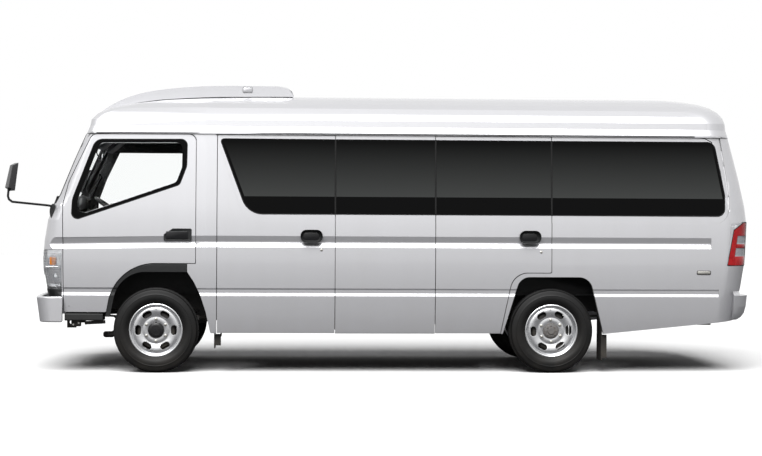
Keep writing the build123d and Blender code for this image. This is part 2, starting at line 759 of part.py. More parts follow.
def knuckle():
    """The left-hand steering knuckle."""
    lug_low = tyre_radius - eye_block_height / 2 - lug_gap - lug_height
    lug_high = tyre_radius + eye_block_height / 2 + lug_gap
    web_height = lug_high + lug_height - lug_low
    ball_low = tie_rod_z - tie_eye_height
    with BuildPart() as piece:
        for base in (lug_low, lug_high):
            with BuildSketch(Plane.XY.offset(base)):
                with Locations((front_axle_x, -kingpin_y)):
                    Circle(eye_block_radius)
                with Locations((front_axle_x, -(kingpin_y + web_y) / 2)):
                    Rectangle(2 * eye_block_radius, web_y - kingpin_y)
            extrude(amount=lug_height)
        with Locations((front_axle_x, -web_y + web_sheet / 2, lug_low + web_height / 2)):
            Box(2 * eye_block_radius, web_sheet, web_height)
        with Locations((front_axle_x + steering_arm_length / 2, -kingpin_y, arm_top - arm_sheet / 2)):
            Box(steering_arm_length - 2 * kingpin_radius, arm_width, arm_sheet)
        with Locations((tie_rod_x, -kingpin_y, arm_top - arm_sheet / 2)):
            Cylinder(arm_width / 2, arm_sheet)
        with Locations((tie_rod_x, -kingpin_y, (arm_top + ball_low) / 2)):
            Cylinder(ball_radius, arm_top - ball_low)
        with Locations((front_axle_x, -kingpin_y, tyre_radius)):
            Cylinder(kingpin_radius + bearing_clearance, 400.0, mode=Mode.SUBTRACT)
        spindle_start = (front_axle_x, -web_y + 5.0, tyre_radius)
        add(rod(spindle_start, (front_axle_x, -spindle_end, tyre_radius), spindle_radius))
    return piece.part


left_knuckle = save("left_knuckle", knuckle())
save("right_knuckle", mirrored(left_knuckle))
with BuildPart() as tie:
    with BuildSketch(Plane.XY.offset(tie_rod_z - tie_eye_height / 2)):
        with Locations((tie_rod_x, -kingpin_y), (tie_rod_x, kingpin_y)):
            Circle(tie_eye_radius)
    extrude(amount=tie_eye_height)
    add(rod((tie_rod_x, -kingpin_y, tie_rod_z), (tie_rod_x, kingpin_y, tie_rod_z), tie_rod_radius))
    with Locations((tie_rod_x, -kingpin_y, tie_rod_z)):
        Cylinder(ball_radius + bearing_clearance, 2 * tie_eye_height, mode=Mode.SUBTRACT)
    with Locations((tie_rod_x, kingpin_y, tie_rod_z)):
        Cylinder(ball_radius + open_end_clearance, 2 * tie_eye_height, mode=Mode.SUBTRACT)
save("tie_rod", tie.part)

# Rear axle: tube, differential, spring seats and wheel spindles
axle_tube_radius = 55.0
axle_tube_half = 700.0
differential_radius = 140.0
with BuildPart() as axle:
    tube_ends = [(rear_axle_x, side * axle_tube_half, tyre_radius) for side in (-1, 1)]
    add(rod(*tube_ends, axle_tube_radius))
    spindle_ends = [(rear_axle_x, side * spindle_end, tyre_radius) for side in (-1, 1)]
    add(rod(*spindle_ends, spindle_radius))
    with Locations((rear_axle_x, 0.0, tyre_radius)):
        Sphere(differential_radius)
    for side in (-1, 1):
        with Locations((rear_axle_x, side * rail_y, tyre_radius + spring_seat / 2)):
            Box(2 * axle_tube_radius, spring_width, spring_seat)
save("rear_axle", axle.part)

# Engine with its gearbox, and the propeller shaft
engine_length = 640.0
engine_width = 520.0
engine_height = 450.0
engine_middle = (front(70), 0.0, 635.0)
gearbox_length = 520.0
gearbox_width = 300.0
gearbox_height = 240.0
gearbox_middle = (front(640), 0.0, 510.0)
shaft_radius = 42.0
shaft_start = Vector(gearbox_middle[0] + gearbox_length / 2 + 2.5, 0.0, 480.0)
axle_middle = Vector(rear_axle_x, 0.0, tyre_radius)
shaft_end = axle_middle - (axle_middle - shaft_start).normalized() * (differential_radius + seat_clearance)
with BuildPart() as engine:
    with Locations(engine_middle):
        Box(engine_length, engine_width, engine_height)
    with Locations(gearbox_middle):
        Box(gearbox_length, gearbox_width, gearbox_height)
save("engine_block", engine.part)
save("propeller_shaft", rod(shaft_start, shaft_end, shaft_radius))

# Fuel tank, hung on the right-hand rail
tank_length = 900.0
tank_width = 400.0
tank_height = 280.0
tank_middle = (front(2000), 620.0, 480.0)
tank_inner_y = tank_middle[1] - tank_width / 2
rail_outer_y = rail_y + rail_width / 2
with BuildPart() as tank:
    with Locations(tank_middle):
        Box(tank_length, tank_width, tank_height)
    fillet(tank.edges().filter_by(Axis.X), 40.0)
    for place in (-300.0, 300.0):
        hook_middle_y = (rail_outer_y + seat_clearance + tank_inner_y) / 2
        with Locations((tank_middle[0] + place, hook_middle_y, tank_middle[2] + 100.0)):
            Box(60.0, tank_inner_y - rail_outer_y - seat_clearance, 60.0)
save("fuel_tank", tank.part)

# Exhaust, hung from a cross member
exhaust_y = -290.0
exhaust_z = 415.0
pipe_radius = 27.0
silencer_radius = 85.0
silencer_front = front(1500)
silencer_back = front(2150)
hook_top = cross_low - seat_clearance
with BuildPart() as pipe:
    add(rod((front(920), exhaust_y, exhaust_z), (silencer_front, exhaust_y, exhaust_z), pipe_radius))
    add(rod((silencer_front, exhaust_y, exhaust_z), (silencer_back, exhaust_y, exhaust_z), silencer_radius))
    add(rod((silencer_back, exhaust_y, exhaust_z), (rear(-340), exhaust_y, exhaust_z), pipe_radius))
    with Locations((front(1750), exhaust_y, (hook_top + exhaust_z) / 2)):
        Box(60.0, 30.0, hook_top - exhaust_z)
save("exhaust", pipe.part)

# Wheels and tyres
half_rim = rim_width / 2
flange_height = 18.0
well_depth = 22.0
rim_sheet = 10.0
disc_offset = 28.0
disc_sheet = 20.0
hole_circle = 148.0
hole_count = 6
hub_inner = 30.0
hub_length = 110.0


def wheel(axle_x, side):
    """One wheel: rim, flanges, holed disc and hub, on its spindle's bearing."""
    with BuildPart() as piece:
        with BuildSketch(Plane.XY):
            with BuildLine():
                Polyline(
                    (rim_radius - 14, -half_rim + 6), (rim_radius + flange_height - 2, -half_rim),
                    (rim_radius + flange_height, -half_rim + 8), (rim_radius - 4, -half_rim + 16),
                    (rim_radius - well_depth, -20), (rim_radius - well_depth, 20),
                    (rim_radius - 4, half_rim - 16), (rim_radius + flange_height, half_rim - 8),
                    (rim_radius + flange_height - 2, half_rim), (rim_radius - 14, half_rim - 6),
                    (rim_radius - well_depth - rim_sheet, 24), (rim_radius - well_depth - rim_sheet, -24),
                    close=True,
                )
            make_face()
        revolve(axis=Axis.Y)
        with BuildSketch(Plane.XZ.offset(-disc_offset)):
            Circle(rim_radius - well_depth - 4)
            with PolarLocations(hole_circle, hole_count):
                SlotOverall(52.0, 40.0, rotation=90.0, mode=Mode.SUBTRACT)
        extrude(amount=disc_sheet / 2, both=True)
        with BuildSketch(Plane.XZ.offset(hub_inner)):
            Circle(hub_radius)
        extrude(amount=-hub_length)
        with BuildSketch(Plane.XZ.offset(hub_inner)):
            Circle(spindle_radius + bearing_clearance)
        extrude(amount=10.0 - hub_length, mode=Mode.SUBTRACT)
    turned = piece.part if side > 0 else mirror(piece.part, about=Plane.XZ)
    return turned.moved(Location((axle_x, side * wheel_centre_y, tyre_radius)))


def tyre(axle_x, side):
    """One tyre, closed, on its rim's bead seats."""
    half = tyre_width / 2
    bead = rim_radius + seat_clearance
    with BuildPart() as piece:
        with BuildSketch(Plane.XY):
            with BuildLine():
                Polyline(
                    (bead, -58), (bead + 16, -68), (bead + 30, -half + 12), (bead + 70, -half),
                    (bead + 105, -half + 6), (tyre_radius - 12, -half + 20), (tyre_radius, -half + 38),
                    (tyre_radius, half - 38), (tyre_radius - 12, half - 20), (bead + 105, half - 6),
                    (bead + 70, half), (bead + 30, half - 12), (bead + 16, 68), (bead, 58), close=True,
                )
            make_face()
        revolve(axis=Axis.Y)
    return piece.part.moved(Location((axle_x, side * wheel_centre_y, tyre_radius)))


for end_name, axle_x in (("front", front_axle_x), ("rear", rear_axle_x)):
    for side_name, side in (("left", -1), ("right", 1)):
        save(f"{end_name}_{side_name}_wheel", wheel(axle_x, side))
        save(f"{end_name}_{side_name}_tyre", tyre(axle_x, side))

# Bumpers
bumper_low = 425.0
bumper_high = 640.0
bumper_half_width = 912.0
bumper_sheet = 36.0
bumper_corner = 130.0
bumper_bow = 50.0
bumper_back_x = front(-778)
bracket_front_x = front_axle_x - bumper_reach + bumper_sheet - 5.0
bracket_back_x = rail_front - seat_clearance
bracket_width = 50.0
bracket_low = 470.0
bracket_high = 554.0
rear_bumper_profile = ((tail_bottom, 1668), (475, 1700), (510, 1726), (570, 1742), (735, 1750))
rear_bumper_ends = rear(1560)


def bumper_outline(inset):
    """Plan outline of the front bumper's outside or inside."""
    half = bumper_half_width - inset
    nose = front_axle_x - bumper_reach + inset
    back = bumper_back_x + inset
    with BuildSketch(Plane.XY.offset(bumper_low)) as section:
        with BuildLine():
            ThreePointArc((nose + bumper_bow, -half), (nose, 0), (nose + bumper_bow, half))
            Polyline((nose + bumper_bow, half), (back, half), (back, -half), (nose + bumper_bow, -half))
        make_face()
        fillet(section.vertices().group_by(Axis.X)[0], bumper_corner - inset)
    return section.sketch


with BuildPart() as bumper:
    extrude(bumper_outline(0.0), amount=bumper_high - bumper_low)
    extrude(bumper_outline(bumper_sheet), amount=bumper_high - bumper_low, mode=Mode.SUBTRACT)
    for side in (-1, 1):
        middle_x = (bracket_front_x + bracket_back_x) / 2
        with Locations((middle_x, side * rail_y, (bracket_low + bracket_high) / 2)):
            Box(bracket_back_x - bracket_front_x, bracket_width, bracket_high - bracket_low)
save("front_bumper", bumper.part)
bumper_sections = []
for height, reach in rear_bumper_profile:
    half = body_half_width - points_between(flank_profile, height)
    radii = (front_corner_radius, rear_corner_radius)
    bumper_sections.append(plan_section(height, front_axle_x, rear(reach), half, *radii))
with BuildPart() as tail_skin:
    loft(sections=bumper_sections, ruled=True)
bumper_space = block((rear_bumper_ends, -far, 0.0), (rear(1800), far, 1000.0))
body_face = body_solid(-seat_clearance, 300.0, False)
save("rear_bumper", cut_from(common(tail_skin.part, bumper_space), body_face))

# Steps under the cab doors, and mud flaps
step_front_x = front(-763)
step_back_x = front(-445)
step_inner_y = 650.0
step_outer_y = 870.0
step_low = 437.0
step_high = 499.0
bracket_x = front(-690)
bracket_half = 30.0
bracket_sheet = 12.0
bracket_y = rail_outer_y + seat_clearance
flap_sheet = 8.0
flap_inner_y = -640.0
flap_top = 640.0
with BuildPart() as step:
    add(block((step_front_x, -step_outer_y, step_low), (step_back_x, -step_inner_y, step_high)))
    fillet(step.edges().filter_by(Axis.X).sort_by(Axis.Y)[:2], 12.0)
    add(block(
        (bracket_x - bracket_half, -step_inner_y - 1.0, step_high - 18.0),
        (bracket_x + bracket_half, -bracket_y, step_high),
    ))
    add(block(
        (bracket_x - bracket_half, -bracket_y - bracket_sheet, step_high - 18.0),
        (bracket_x + bracket_half, -bracket_y, step_high + 60.0),
    ))
save("cab_steps", step.part, mirrored(step.part))
flaps = []
for flap_x, outer_y, low, fold in ((front(488), -856.7, 205.0, 58.0), (rear(430), -860.0, 105.0, 48.0)):
    cross_sheet = block((flap_x, outer_y, low), (flap_x + flap_sheet, flap_inner_y, flap_top))
    fold_corner = (flap_x + fold, outer_y + flap_sheet, sill_bottom - moving_clearance)
    side_sheet = block((flap_x, outer_y, low + 25.0), fold_corner)
    flaps += [cross_sheet, side_sheet, mirrored(cross_sheet), mirrored(side_sheet)]
save("mud_flaps", *flaps)

# Mirrors on their arms: the kerb side's reaches ahead of the nose, the driver's stands beside the pillar
mirror_y = -1040.0
mirror_z = 1640.0
mirror_height = 236.0
mirror_width = 150.0
mirror_depth = 60.0
mirror_turn = (-0.42, 0.91, 0.0)
mirror_head_reach = 50.2
arm_radius = 11.0
bracket_point = (front(-862), -815.0, 1395.0)
kerb_arm = (
    (front(-1212), mirror_y, 1530.0), (front(-1212), mirror_y, 1450.0), (front(-1180), mirror_y + 8, 1428.0),
    (front(-905), -838.0, 1400.0), bracket_point,
)
driver_arm = (
    (front(-790), mirror_y, 1530.0), (front(-790), mirror_y, 1462.0), (front(-800), -1020.0, 1440.0),
    bracket_point,
)


def outside_mirror(head_x, points):
    """A left-hand mirror: its head, its bent arm and the bracket that holds it to the nose."""
    head_plane = Plane(origin=(head_x, mirror_y, mirror_z), x_dir=mirror_turn, z_dir=(0, 0, 1))
    with BuildPart() as piece:
        with BuildSketch(head_plane.offset(-mirror_height / 2)):
            RectangleRounded(mirror_width, mirror_depth, 26.0)
        extrude(amount=mirror_height)
        fillet(piece.edges().group_by(Axis.Z)[-1], 14.0)
        fillet(piece.edges().group_by(Axis.Z)[0], 14.0)
        for start, end in zip(points, points[1:]):
            add(rod(start, end, arm_radius))
        for joint_point in points[1:-1]:
            with Locations(joint_point):
                Sphere(arm_radius)
        with Locations((front(-868), -812.0, 1350.0)):
            Box(60.0, 50.0, 140.0)
    return cut_from(piece.part, body_face)


kerb_mirror = outside_mirror(front(mirror_head_reach - mirror_reach), kerb_arm)
driver_mirror = mirrored(outside_mirror(front(-790), driver_arm))
save("mirrors", kerb_mirror, driver_mirror)

# Roof air conditioner
unit_half_width = 430.0
unit_points = (
    (front(-560), 2170), (front(-280), 2345), (front(100), 2425), (front(560), 2452), (front(1020), 2452)
)
unit_back = (
    (front(1020), 2452), (front(1095), 2438), (front(1138), 2408), (front(1152), 2365), (front(1140), 2200),
    (front(-560), 2100), (front(-560), 2170),
)
with BuildPart() as unit:
    with BuildSketch(Plane.XZ.offset(-unit_half_width)):
        with BuildLine():
            Spline(*unit_points)
            Polyline(*unit_back)
        make_face()
    extrude(amount=2 * unit_half_width)
save("roof_air_unit", cut_from(unit.part, body_solid(-seat_clearance)))

# Dashboard with the steering column, and the steering wheel
driver_y = 430.0
dash_half = 760.0
dash_outline = (
    (front(-960), 1000, 0), (front(-960), 1335, 0), (front(-760), 1365, 30), (front(-640), 1330, 40),
    (front(-610), 1120, 60), (front(-720), 1000, 30),
)
wheel_tilt = math.radians(35.0)
wheel_hub = Vector(front(-480), driver_y, 1360.0)
column_axis = Vector(math.sin(wheel_tilt), 0.0, math.cos(wheel_tilt))
rim_circle = 200.0
rim_bar = 15.0
spoke_width = 40.0
spoke_sheet = 18.0
hub_cover_radius = 55.0
column_radius = 30.0
column_shaft_radius = 12.0
dash = common(side_prism(dash_outline, 0.0, -dash_half, dash_half), shut_face)
column = rod(wheel_hub - column_axis * 330.0, wheel_hub - column_axis * 40.0, column_radius)
bore = rod(wheel_hub - column_axis * 90.0, wheel_hub, column_shaft_radius + bearing_clearance)
save("dashboard", cut_from(dash, column), cut_from(column, bore))
with BuildPart() as steering:
    with BuildSketch(Plane(origin=wheel_hub, x_dir=(0, 1, 0), z_dir=column_axis)):
        Circle(hub_cover_radius)
        Rectangle(2 * rim_circle - 10.0, spoke_width)
        with Locations((0.0, -rim_circle / 2)):
            Rectangle(spoke_width, rim_circle - 10.0)
    extrude(amount=spoke_sheet)
    with BuildSketch(Plane(origin=wheel_hub, x_dir=(0, 1, 0), z_dir=(column_axis.Z, 0.0, -column_axis.X))):
        with Locations((rim_circle, 8.0)):
            Circle(rim_bar)
    revolve(axis=Axis(wheel_hub, column_axis))
    add(rod(wheel_hub - column_axis * 85.0, wheel_hub, column_shaft_radius))
save("steering_wheel", steering.part)

# Seats
cab_seat_width = 480.0
seat_width = 600.0
seat_y = 540.0
seat_top = 1110.0
seat_pitch = 760.0
first_seat_x = front(1150)
seat_rows = 4


def seat(x, middle_y, width, base_z, top_z):
    """One seat as a plain closed form: a pedestal, a cushion and a leaning back."""
    seat_corners = (
        (x - 200, base_z, 0), (x + 120, base_z, 0), (x + 120, top_z - 130, 0), (x + 220, top_z - 130, 20),
        (x + 330, top_z + 560, 50), (x + 215, top_z + 590, 50), (x + 120, top_z, 25),
        (x - 250, top_z + 15, 50),
        (x - 250, top_z - 130, 30), (x - 200, top_z - 130, 0),
    )
    return side_prism(seat_corners, 0.0, middle_y - width / 2, middle_y + width / 2)


cab_seat = seat(front(0), driver_y, cab_seat_width, seat_box_top, 1100.0)
save("cab_seats", cab_seat, mirrored(cab_seat))
saloon_seats = []
for number in range(seat_rows):
    base_z = housing_top + seat_clearance if number == seat_rows - 1 else floor_top
    saloon_seats.append(seat(first_seat_x + seat_pitch * number, seat_y, seat_width, base_z, seat_top))
saloon_seats.append(seat(front(1900), -seat_y, seat_width, floor_top, seat_top))
saloon_seats.append(seat(rear(1150), 0.0, 1500.0, floor_top, seat_top))
save("saloon_seats", *saloon_seats)
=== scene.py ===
"""Looks of a cab-over light truck with a closed minibus body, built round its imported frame.

The front is at -X, the passenger doors are on the left at -Y, and lengths are in metres.
"""

import json
import logging
import math
from collections.abc import Callable, Iterator, Sequence
from contextlib import contextmanager
from dataclasses import dataclass, field
from enum import Enum
from functools import lru_cache

import bpy
from mathutils import Matrix, Vector
from mathutils.bvhtree import BVHTree


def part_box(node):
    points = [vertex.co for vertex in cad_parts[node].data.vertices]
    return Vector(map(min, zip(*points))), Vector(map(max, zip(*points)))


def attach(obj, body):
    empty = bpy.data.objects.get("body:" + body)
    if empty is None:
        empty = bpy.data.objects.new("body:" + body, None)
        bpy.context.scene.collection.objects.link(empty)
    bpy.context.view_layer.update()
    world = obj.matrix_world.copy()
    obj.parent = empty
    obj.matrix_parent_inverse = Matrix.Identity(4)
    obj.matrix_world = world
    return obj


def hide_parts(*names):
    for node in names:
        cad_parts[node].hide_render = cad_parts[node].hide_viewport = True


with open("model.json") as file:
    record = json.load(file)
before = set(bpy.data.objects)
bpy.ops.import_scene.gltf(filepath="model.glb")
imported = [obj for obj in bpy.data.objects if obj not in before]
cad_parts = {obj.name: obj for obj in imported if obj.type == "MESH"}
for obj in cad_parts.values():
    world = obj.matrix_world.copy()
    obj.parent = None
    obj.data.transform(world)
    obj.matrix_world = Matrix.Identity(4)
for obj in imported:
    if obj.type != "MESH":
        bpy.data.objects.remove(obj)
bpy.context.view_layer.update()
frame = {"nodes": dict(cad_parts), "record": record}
LOG = logging.getLogger("minibus")
ROOT = "root"

Point = tuple[float, float, float]
Colour = tuple[float, float, float]
Piece = bpy.types.Object
FaceTest = Callable[[Vector, Vector], bool]

BOTH = (-1.0, 1.0)
ORIGIN = (0.0, 0.0, 0.0)
MERGE = 0.00002


class Side(Enum):
    """A flank of the vehicle and the sign of its Y."""

    LEFT = -1
    RIGHT = 1

    @property
    def word(self) -> str:
        """Its name in the pieces' names."""
        return self.name.lower()

    @property
    def sign(self) -> float:
        """The sign of its Y, as a number to multiply by."""
        return float(self.value)


class Axis(Enum):
    """A direction of the frame."""

    X = Vector((1.0, 0.0, 0.0))
    Y = Vector((0.0, 1.0, 0.0))
    Z = Vector((0.0, 0.0, 1.0))


def middle(node: str) -> Vector:
    """Middle of a CAD node's box."""
    low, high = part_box(node)
    return (low + high) / 2


FRONT_AXLE_X = middle("front_left_tyre").x
REAR_AXLE_X = middle("rear_left_tyre").x
TYRE_RADIUS = middle("front_left_tyre").z
WHEEL_Y = middle("front_right_tyre").y


def front(x: float) -> float:
    """A place measured rearwards from the front axle."""
    return FRONT_AXLE_X + x


def rear(x: float) -> float:
    """A place measured rearwards from the rear axle."""
    return REAR_AXLE_X + x


# ---------------------------------------------------------------- modelling


def deselect() -> None:
    """Leaves nothing selected, in object mode."""
    if bpy.context.object and bpy.context.object.mode != "OBJECT":
        bpy.ops.object.mode_set(mode="OBJECT")
    bpy.ops.object.select_all(action="DESELECT")


def take(*pieces: Piece) -> None:
    """Selects only these pieces, the first of them active."""
    deselect()
    for piece in pieces:
        piece.select_set(True)
    bpy.context.view_layer.objects.active = pieces[0]


def settle(piece: Piece) -> Piece:
    """Puts a piece's place, turn and size into its mesh."""
    take(piece)
    bpy.ops.object.transform_apply(location=True, rotation=True, scale=True)
    return piece


def placed(piece: Piece, place: Sequence[float], turn: Sequence[float]) -> Piece:
    """Sets a piece down at a place, turned about its three axes."""
    piece.rotation_euler = turn
    piece.location = place
    return settle(piece)


def named(name: str) -> Piece:
    """Names the active object, settles it and returns it."""
    piece = bpy.context.object
    piece.name = name
    piece.data.name = name
    return settle(piece)


def box(name: str, low: Point, high: Point) -> Piece:
    """A box between two corners, to be shaped further."""
    deselect()
    centre = [(a + b) / 2 for a, b in zip(low, high)]
    bpy.ops.mesh.primitive_cube_add(size=1.0, location=centre)
    bpy.context.object.scale = [b - a for a, b in zip(low, high)]
    return named(name)


def rod(name: str, start: Point, end: Point, radius: float, sides: int = 24, tip: float = -1.0) -> Piece:
    """A round bar from one point to another, tapering to the tip radius where one is given."""
    deselect()
    run = Vector(end) - Vector(start)
    place = (Vector(start) + Vector(end)) / 2
    turn = run.to_track_quat("Z", "Y").to_euler()
    far = radius if tip < 0 else tip
    bpy.ops.mesh.primitive_cone_add(
        vertices=sides, radius1=radius, radius2=far, depth=run.length, location=place, rotation=turn
    )
    return named(name)


@contextmanager
def editing(piece: Piece, kind: str = "FACE") -> Iterator[None]:
    """Edit mode on one piece, for as long as the block lasts."""
    take(piece)
    bpy.ops.object.mode_set(mode="EDIT")
    bpy.ops.mesh.select_mode(type=kind)
    yield
    bpy.ops.object.mode_set(mode="OBJECT")


def pick(piece: Piece, test: FaceTest) -> int:
    """Selects the faces whose middle and normal pass a test, and returns how many do."""
    mesh = piece.data
    mesh.vertices.foreach_set("select", [False] * len(mesh.vertices))
    mesh.edges.foreach_set("select", [False] * len(mesh.edges))
    flags = [test(face.center, face.normal) for face in mesh.polygons]
    mesh.polygons.foreach_set("select", flags)
    return sum(flags)


def facing(direction: Vector, least: float = 0.7) -> FaceTest:
    """A test for faces that look along a direction."""
    return lambda centre, normal: normal.dot(direction) > least


def sunk(piece: Piece, test: FaceTest, rim: float, depth: float) -> Piece:
    """Sinks the faces that pass a test, all but a rim round them."""
    pick(piece, test)
    with editing(piece):
        bpy.ops.mesh.inset(thickness=rim)
        bpy.ops.mesh.extrude_region_shrink_fatten(TRANSFORM_OT_shrink_fatten={"value": -depth})
    return piece


def modify(piece: Piece, kind: str, **settings: object) -> Piece:
    """Adds a modifier with its settings and applies it."""
    take(piece)
    modifier = piece.modifiers.new(kind.lower(), kind)
    for key, value in settings.items():
        setattr(modifier, key, value)
    bpy.ops.object.modifier_apply(modifier=modifier.name)
    return piece


def round_off(piece: Piece, width: float, segments: int = 2, angle: float = 40.0) -> Piece:
    """Rounds every edge sharper than an angle."""
    return modify(piece, "BEVEL", width=width, segments=segments, angle_limit=math.radians(angle))


def smooth(piece: Piece, angle: float = 35.0) -> Piece:
    """Shades a piece smooth, except at its sharp edges."""
    take(piece)
    bpy.ops.object.shade_smooth_by_angle(angle=math.radians(angle))
    return piece


def joined(name: str, pieces: Sequence[Piece]) -> Piece:
    """Makes one piece of several."""
    take(*pieces)
    if len(pieces) > 1:
        bpy.ops.object.join()
    piece = bpy.context.object
    piece.name = name
    piece.data.name = name
    return piece


def copied(piece: Piece, name: str) -> Piece:
    """A copy with its own mesh."""
    take(piece)
    bpy.ops.object.duplicate()
    return named(name)


def flipped(piece: Piece, name: str) -> Piece:
    """The same piece on the other flank."""
    take(piece)
    bpy.ops.object.duplicate()
    bpy.context.object.scale = (1.0, -1.0, 1.0)
    other = named(name)
    with editing(other):
        bpy.ops.mesh.select_all(action="SELECT")
        bpy.ops.mesh.normals_make_consistent(inside=False)
    return other


def turned(piece: Piece, name: str, axis: str, angle: float, pivot: Point) -> Piece:
    """A copy turned about a point."""
    take(piece)
    bpy.ops.object.duplicate()
    spin = Matrix.Translation(pivot) @ Matrix.Rotation(angle, 4, axis) @ Matrix.Translation(-Vector(pivot))
    bpy.context.object.matrix_world = spin
    return named(name)


def spun(piece: Piece, axis: str, angle: float, pivot: Point) -> Piece:
    """Turns a piece about a point."""
    there, back = Matrix.Translation(pivot), Matrix.Translation(-Vector(pivot))
    piece.matrix_world = there @ Matrix.Rotation(angle, 4, axis) @ back
    return settle(piece)


# Height of a level of the flank, and how far its surface looks up there, in degrees
FLANK_TILTS = (
    (0.335, -8.0), (0.50, -4.6), (0.775, -1.8), (0.98, 0.6), (1.20, 1.8), (1.42, 3.7), (1.645, 4.15),
    (2.01, 4.4),
)
FLANK_LEAST = 0.985


def faired(piece: Piece) -> Piece:
    """Shades the flat bands of a flank as one even curve from sill to roof."""
    mesh = piece.data
    normals = [corner.vector.copy() for corner in mesh.corner_normals]
    for face in mesh.polygons:
        outward = math.copysign(1.0, face.center.y) * face.normal.y
        if outward < FLANK_LEAST:
            continue
        level = Vector((face.normal.x, face.normal.y, 0.0)).normalized()
        for loop in face.loop_indices:
            height = mesh.vertices[mesh.loops[loop].vertex_index].co.z
            tilt = FLANK_TILTS[-1][1]
            for (low, start), (high, end) in zip(FLANK_TILTS, FLANK_TILTS[1:]):
                if height <= high:
                    tilt = start + (end - start) * max(height - low, 0.0) / (high - low)
                    break
            tilt = math.radians(tilt)
            normals[loop] = level * math.cos(tilt) + Axis.Z.value * math.sin(tilt)
    mesh.normals_split_custom_set(normals)
    return piece


def skin(node: str, name: str, angle: float = 18.0) -> Piece:
    """A merged, smooth copy of a CAD node."""
    source = frame["nodes"][node]
    piece = bpy.data.objects.new(name, source.data.copy())
    piece.data.name = name
    bpy.context.scene.collection.objects.link(piece)
    with editing(piece, "VERT"):
        bpy.ops.mesh.select_all(action="SELECT")
        bpy.ops.mesh.remove_doubles(threshold=MERGE)
    smooth(piece, angle)
    return modify(piece, "WEIGHTED_NORMAL", keep_sharp=True, weight=80)


def body_of(node: str) -> str:
    """The body that a CAD node rides on."""
    bodies = frame["record"]["behaviour"]["bodies"]
    return next(name for name, members in bodies.items() if node in members)


# ---------------------------------------------------------------- finishes

Tree = bpy.types.NodeTree
Socket = bpy.types.NodeSocket


def put(
    tree: Tree, kind: str, inputs: dict[str | int, object] | None = None, **settings: object,
) -> bpy.types.Node:
    """Adds a shader node, with its settings, and its inputs set or linked.

    Args:
        tree: The material's tree or a group.
        kind: The node's type name.
        inputs: Values or sockets by input name or number.
        **settings: Attributes of the node.

    Returns:
        The new node.
    """
    made = tree.nodes.new(kind)
    for key, value in settings.items():
        setattr(made, key, value)
    for key, value in (inputs or {}).items():
        if isinstance(value, bpy.types.NodeSocket):
            tree.links.new(value, made.inputs[key])
        else:
            made.inputs[key].default_value = value
    return made


def math_node(tree: Tree, operation: str, *values: object, clamp: bool = False) -> Socket:
    """One Math node's result."""
    made = put(tree, "ShaderNodeMath", dict(enumerate(values)), operation=operation, use_clamp=clamp)
    return made.outputs[0]


def blend_colours(tree: Tree, factor: object, first: object, second: object) -> Socket:
    """A colour between two, by a factor."""
    mix = put(tree, "ShaderNodeMix", data_type="RGBA")
    for number, value in ((0, factor), (6, first), (7, second)):
        if isinstance(value, bpy.types.NodeSocket):
            tree.links.new(value, mix.inputs[number])
        elif number:
            mix.inputs[number].default_value = (*value, 1.0)
        else:
            mix.inputs[number].default_value = value
    return mix.outputs[2]


def ramp(tree: Tree, value: Socket, low: float, high: float) -> Socket:
    """Stretches a value so that low becomes 0 and high becomes 1."""
    inputs = {"Value": value, "From Min": low, "From Max": high}
    return put(tree, "ShaderNodeMapRange", inputs, clamp=True).outputs[0]


def spread(tree: Tree, value: Socket, low: float, high: float) -> Socket:
    """Stretches a value of 0 to 1 so that it runs from low to high."""
    return put(tree, "ShaderNodeMapRange", {"Value": value, "To Min": low, "To Max": high}).outputs[0]


def feed(
    tree: Tree, shader: bpy.types.Node, colour: Socket, rough: Socket, bump: bpy.types.Node | None = None,
) -> None:
    """Links a colour, a roughness and, where there is one, a bump to a shader."""
    tree.links.new(colour, shader.inputs["Base Color"])
    tree.links.new(rough, shader.inputs["Roughness"])
    if bump:
        tree.links.new(bump.outputs[0], shader.inputs["Normal"])


class Effect(Enum):
    """The shared effects, each a shader node group."""

    SPECKLE = "speckle"
    GROUND_DUST = "ground_dust"
    EDGE_WEAR = "edge_wear"
    WEAVE = "weave"
    STREAKS = "streaks"


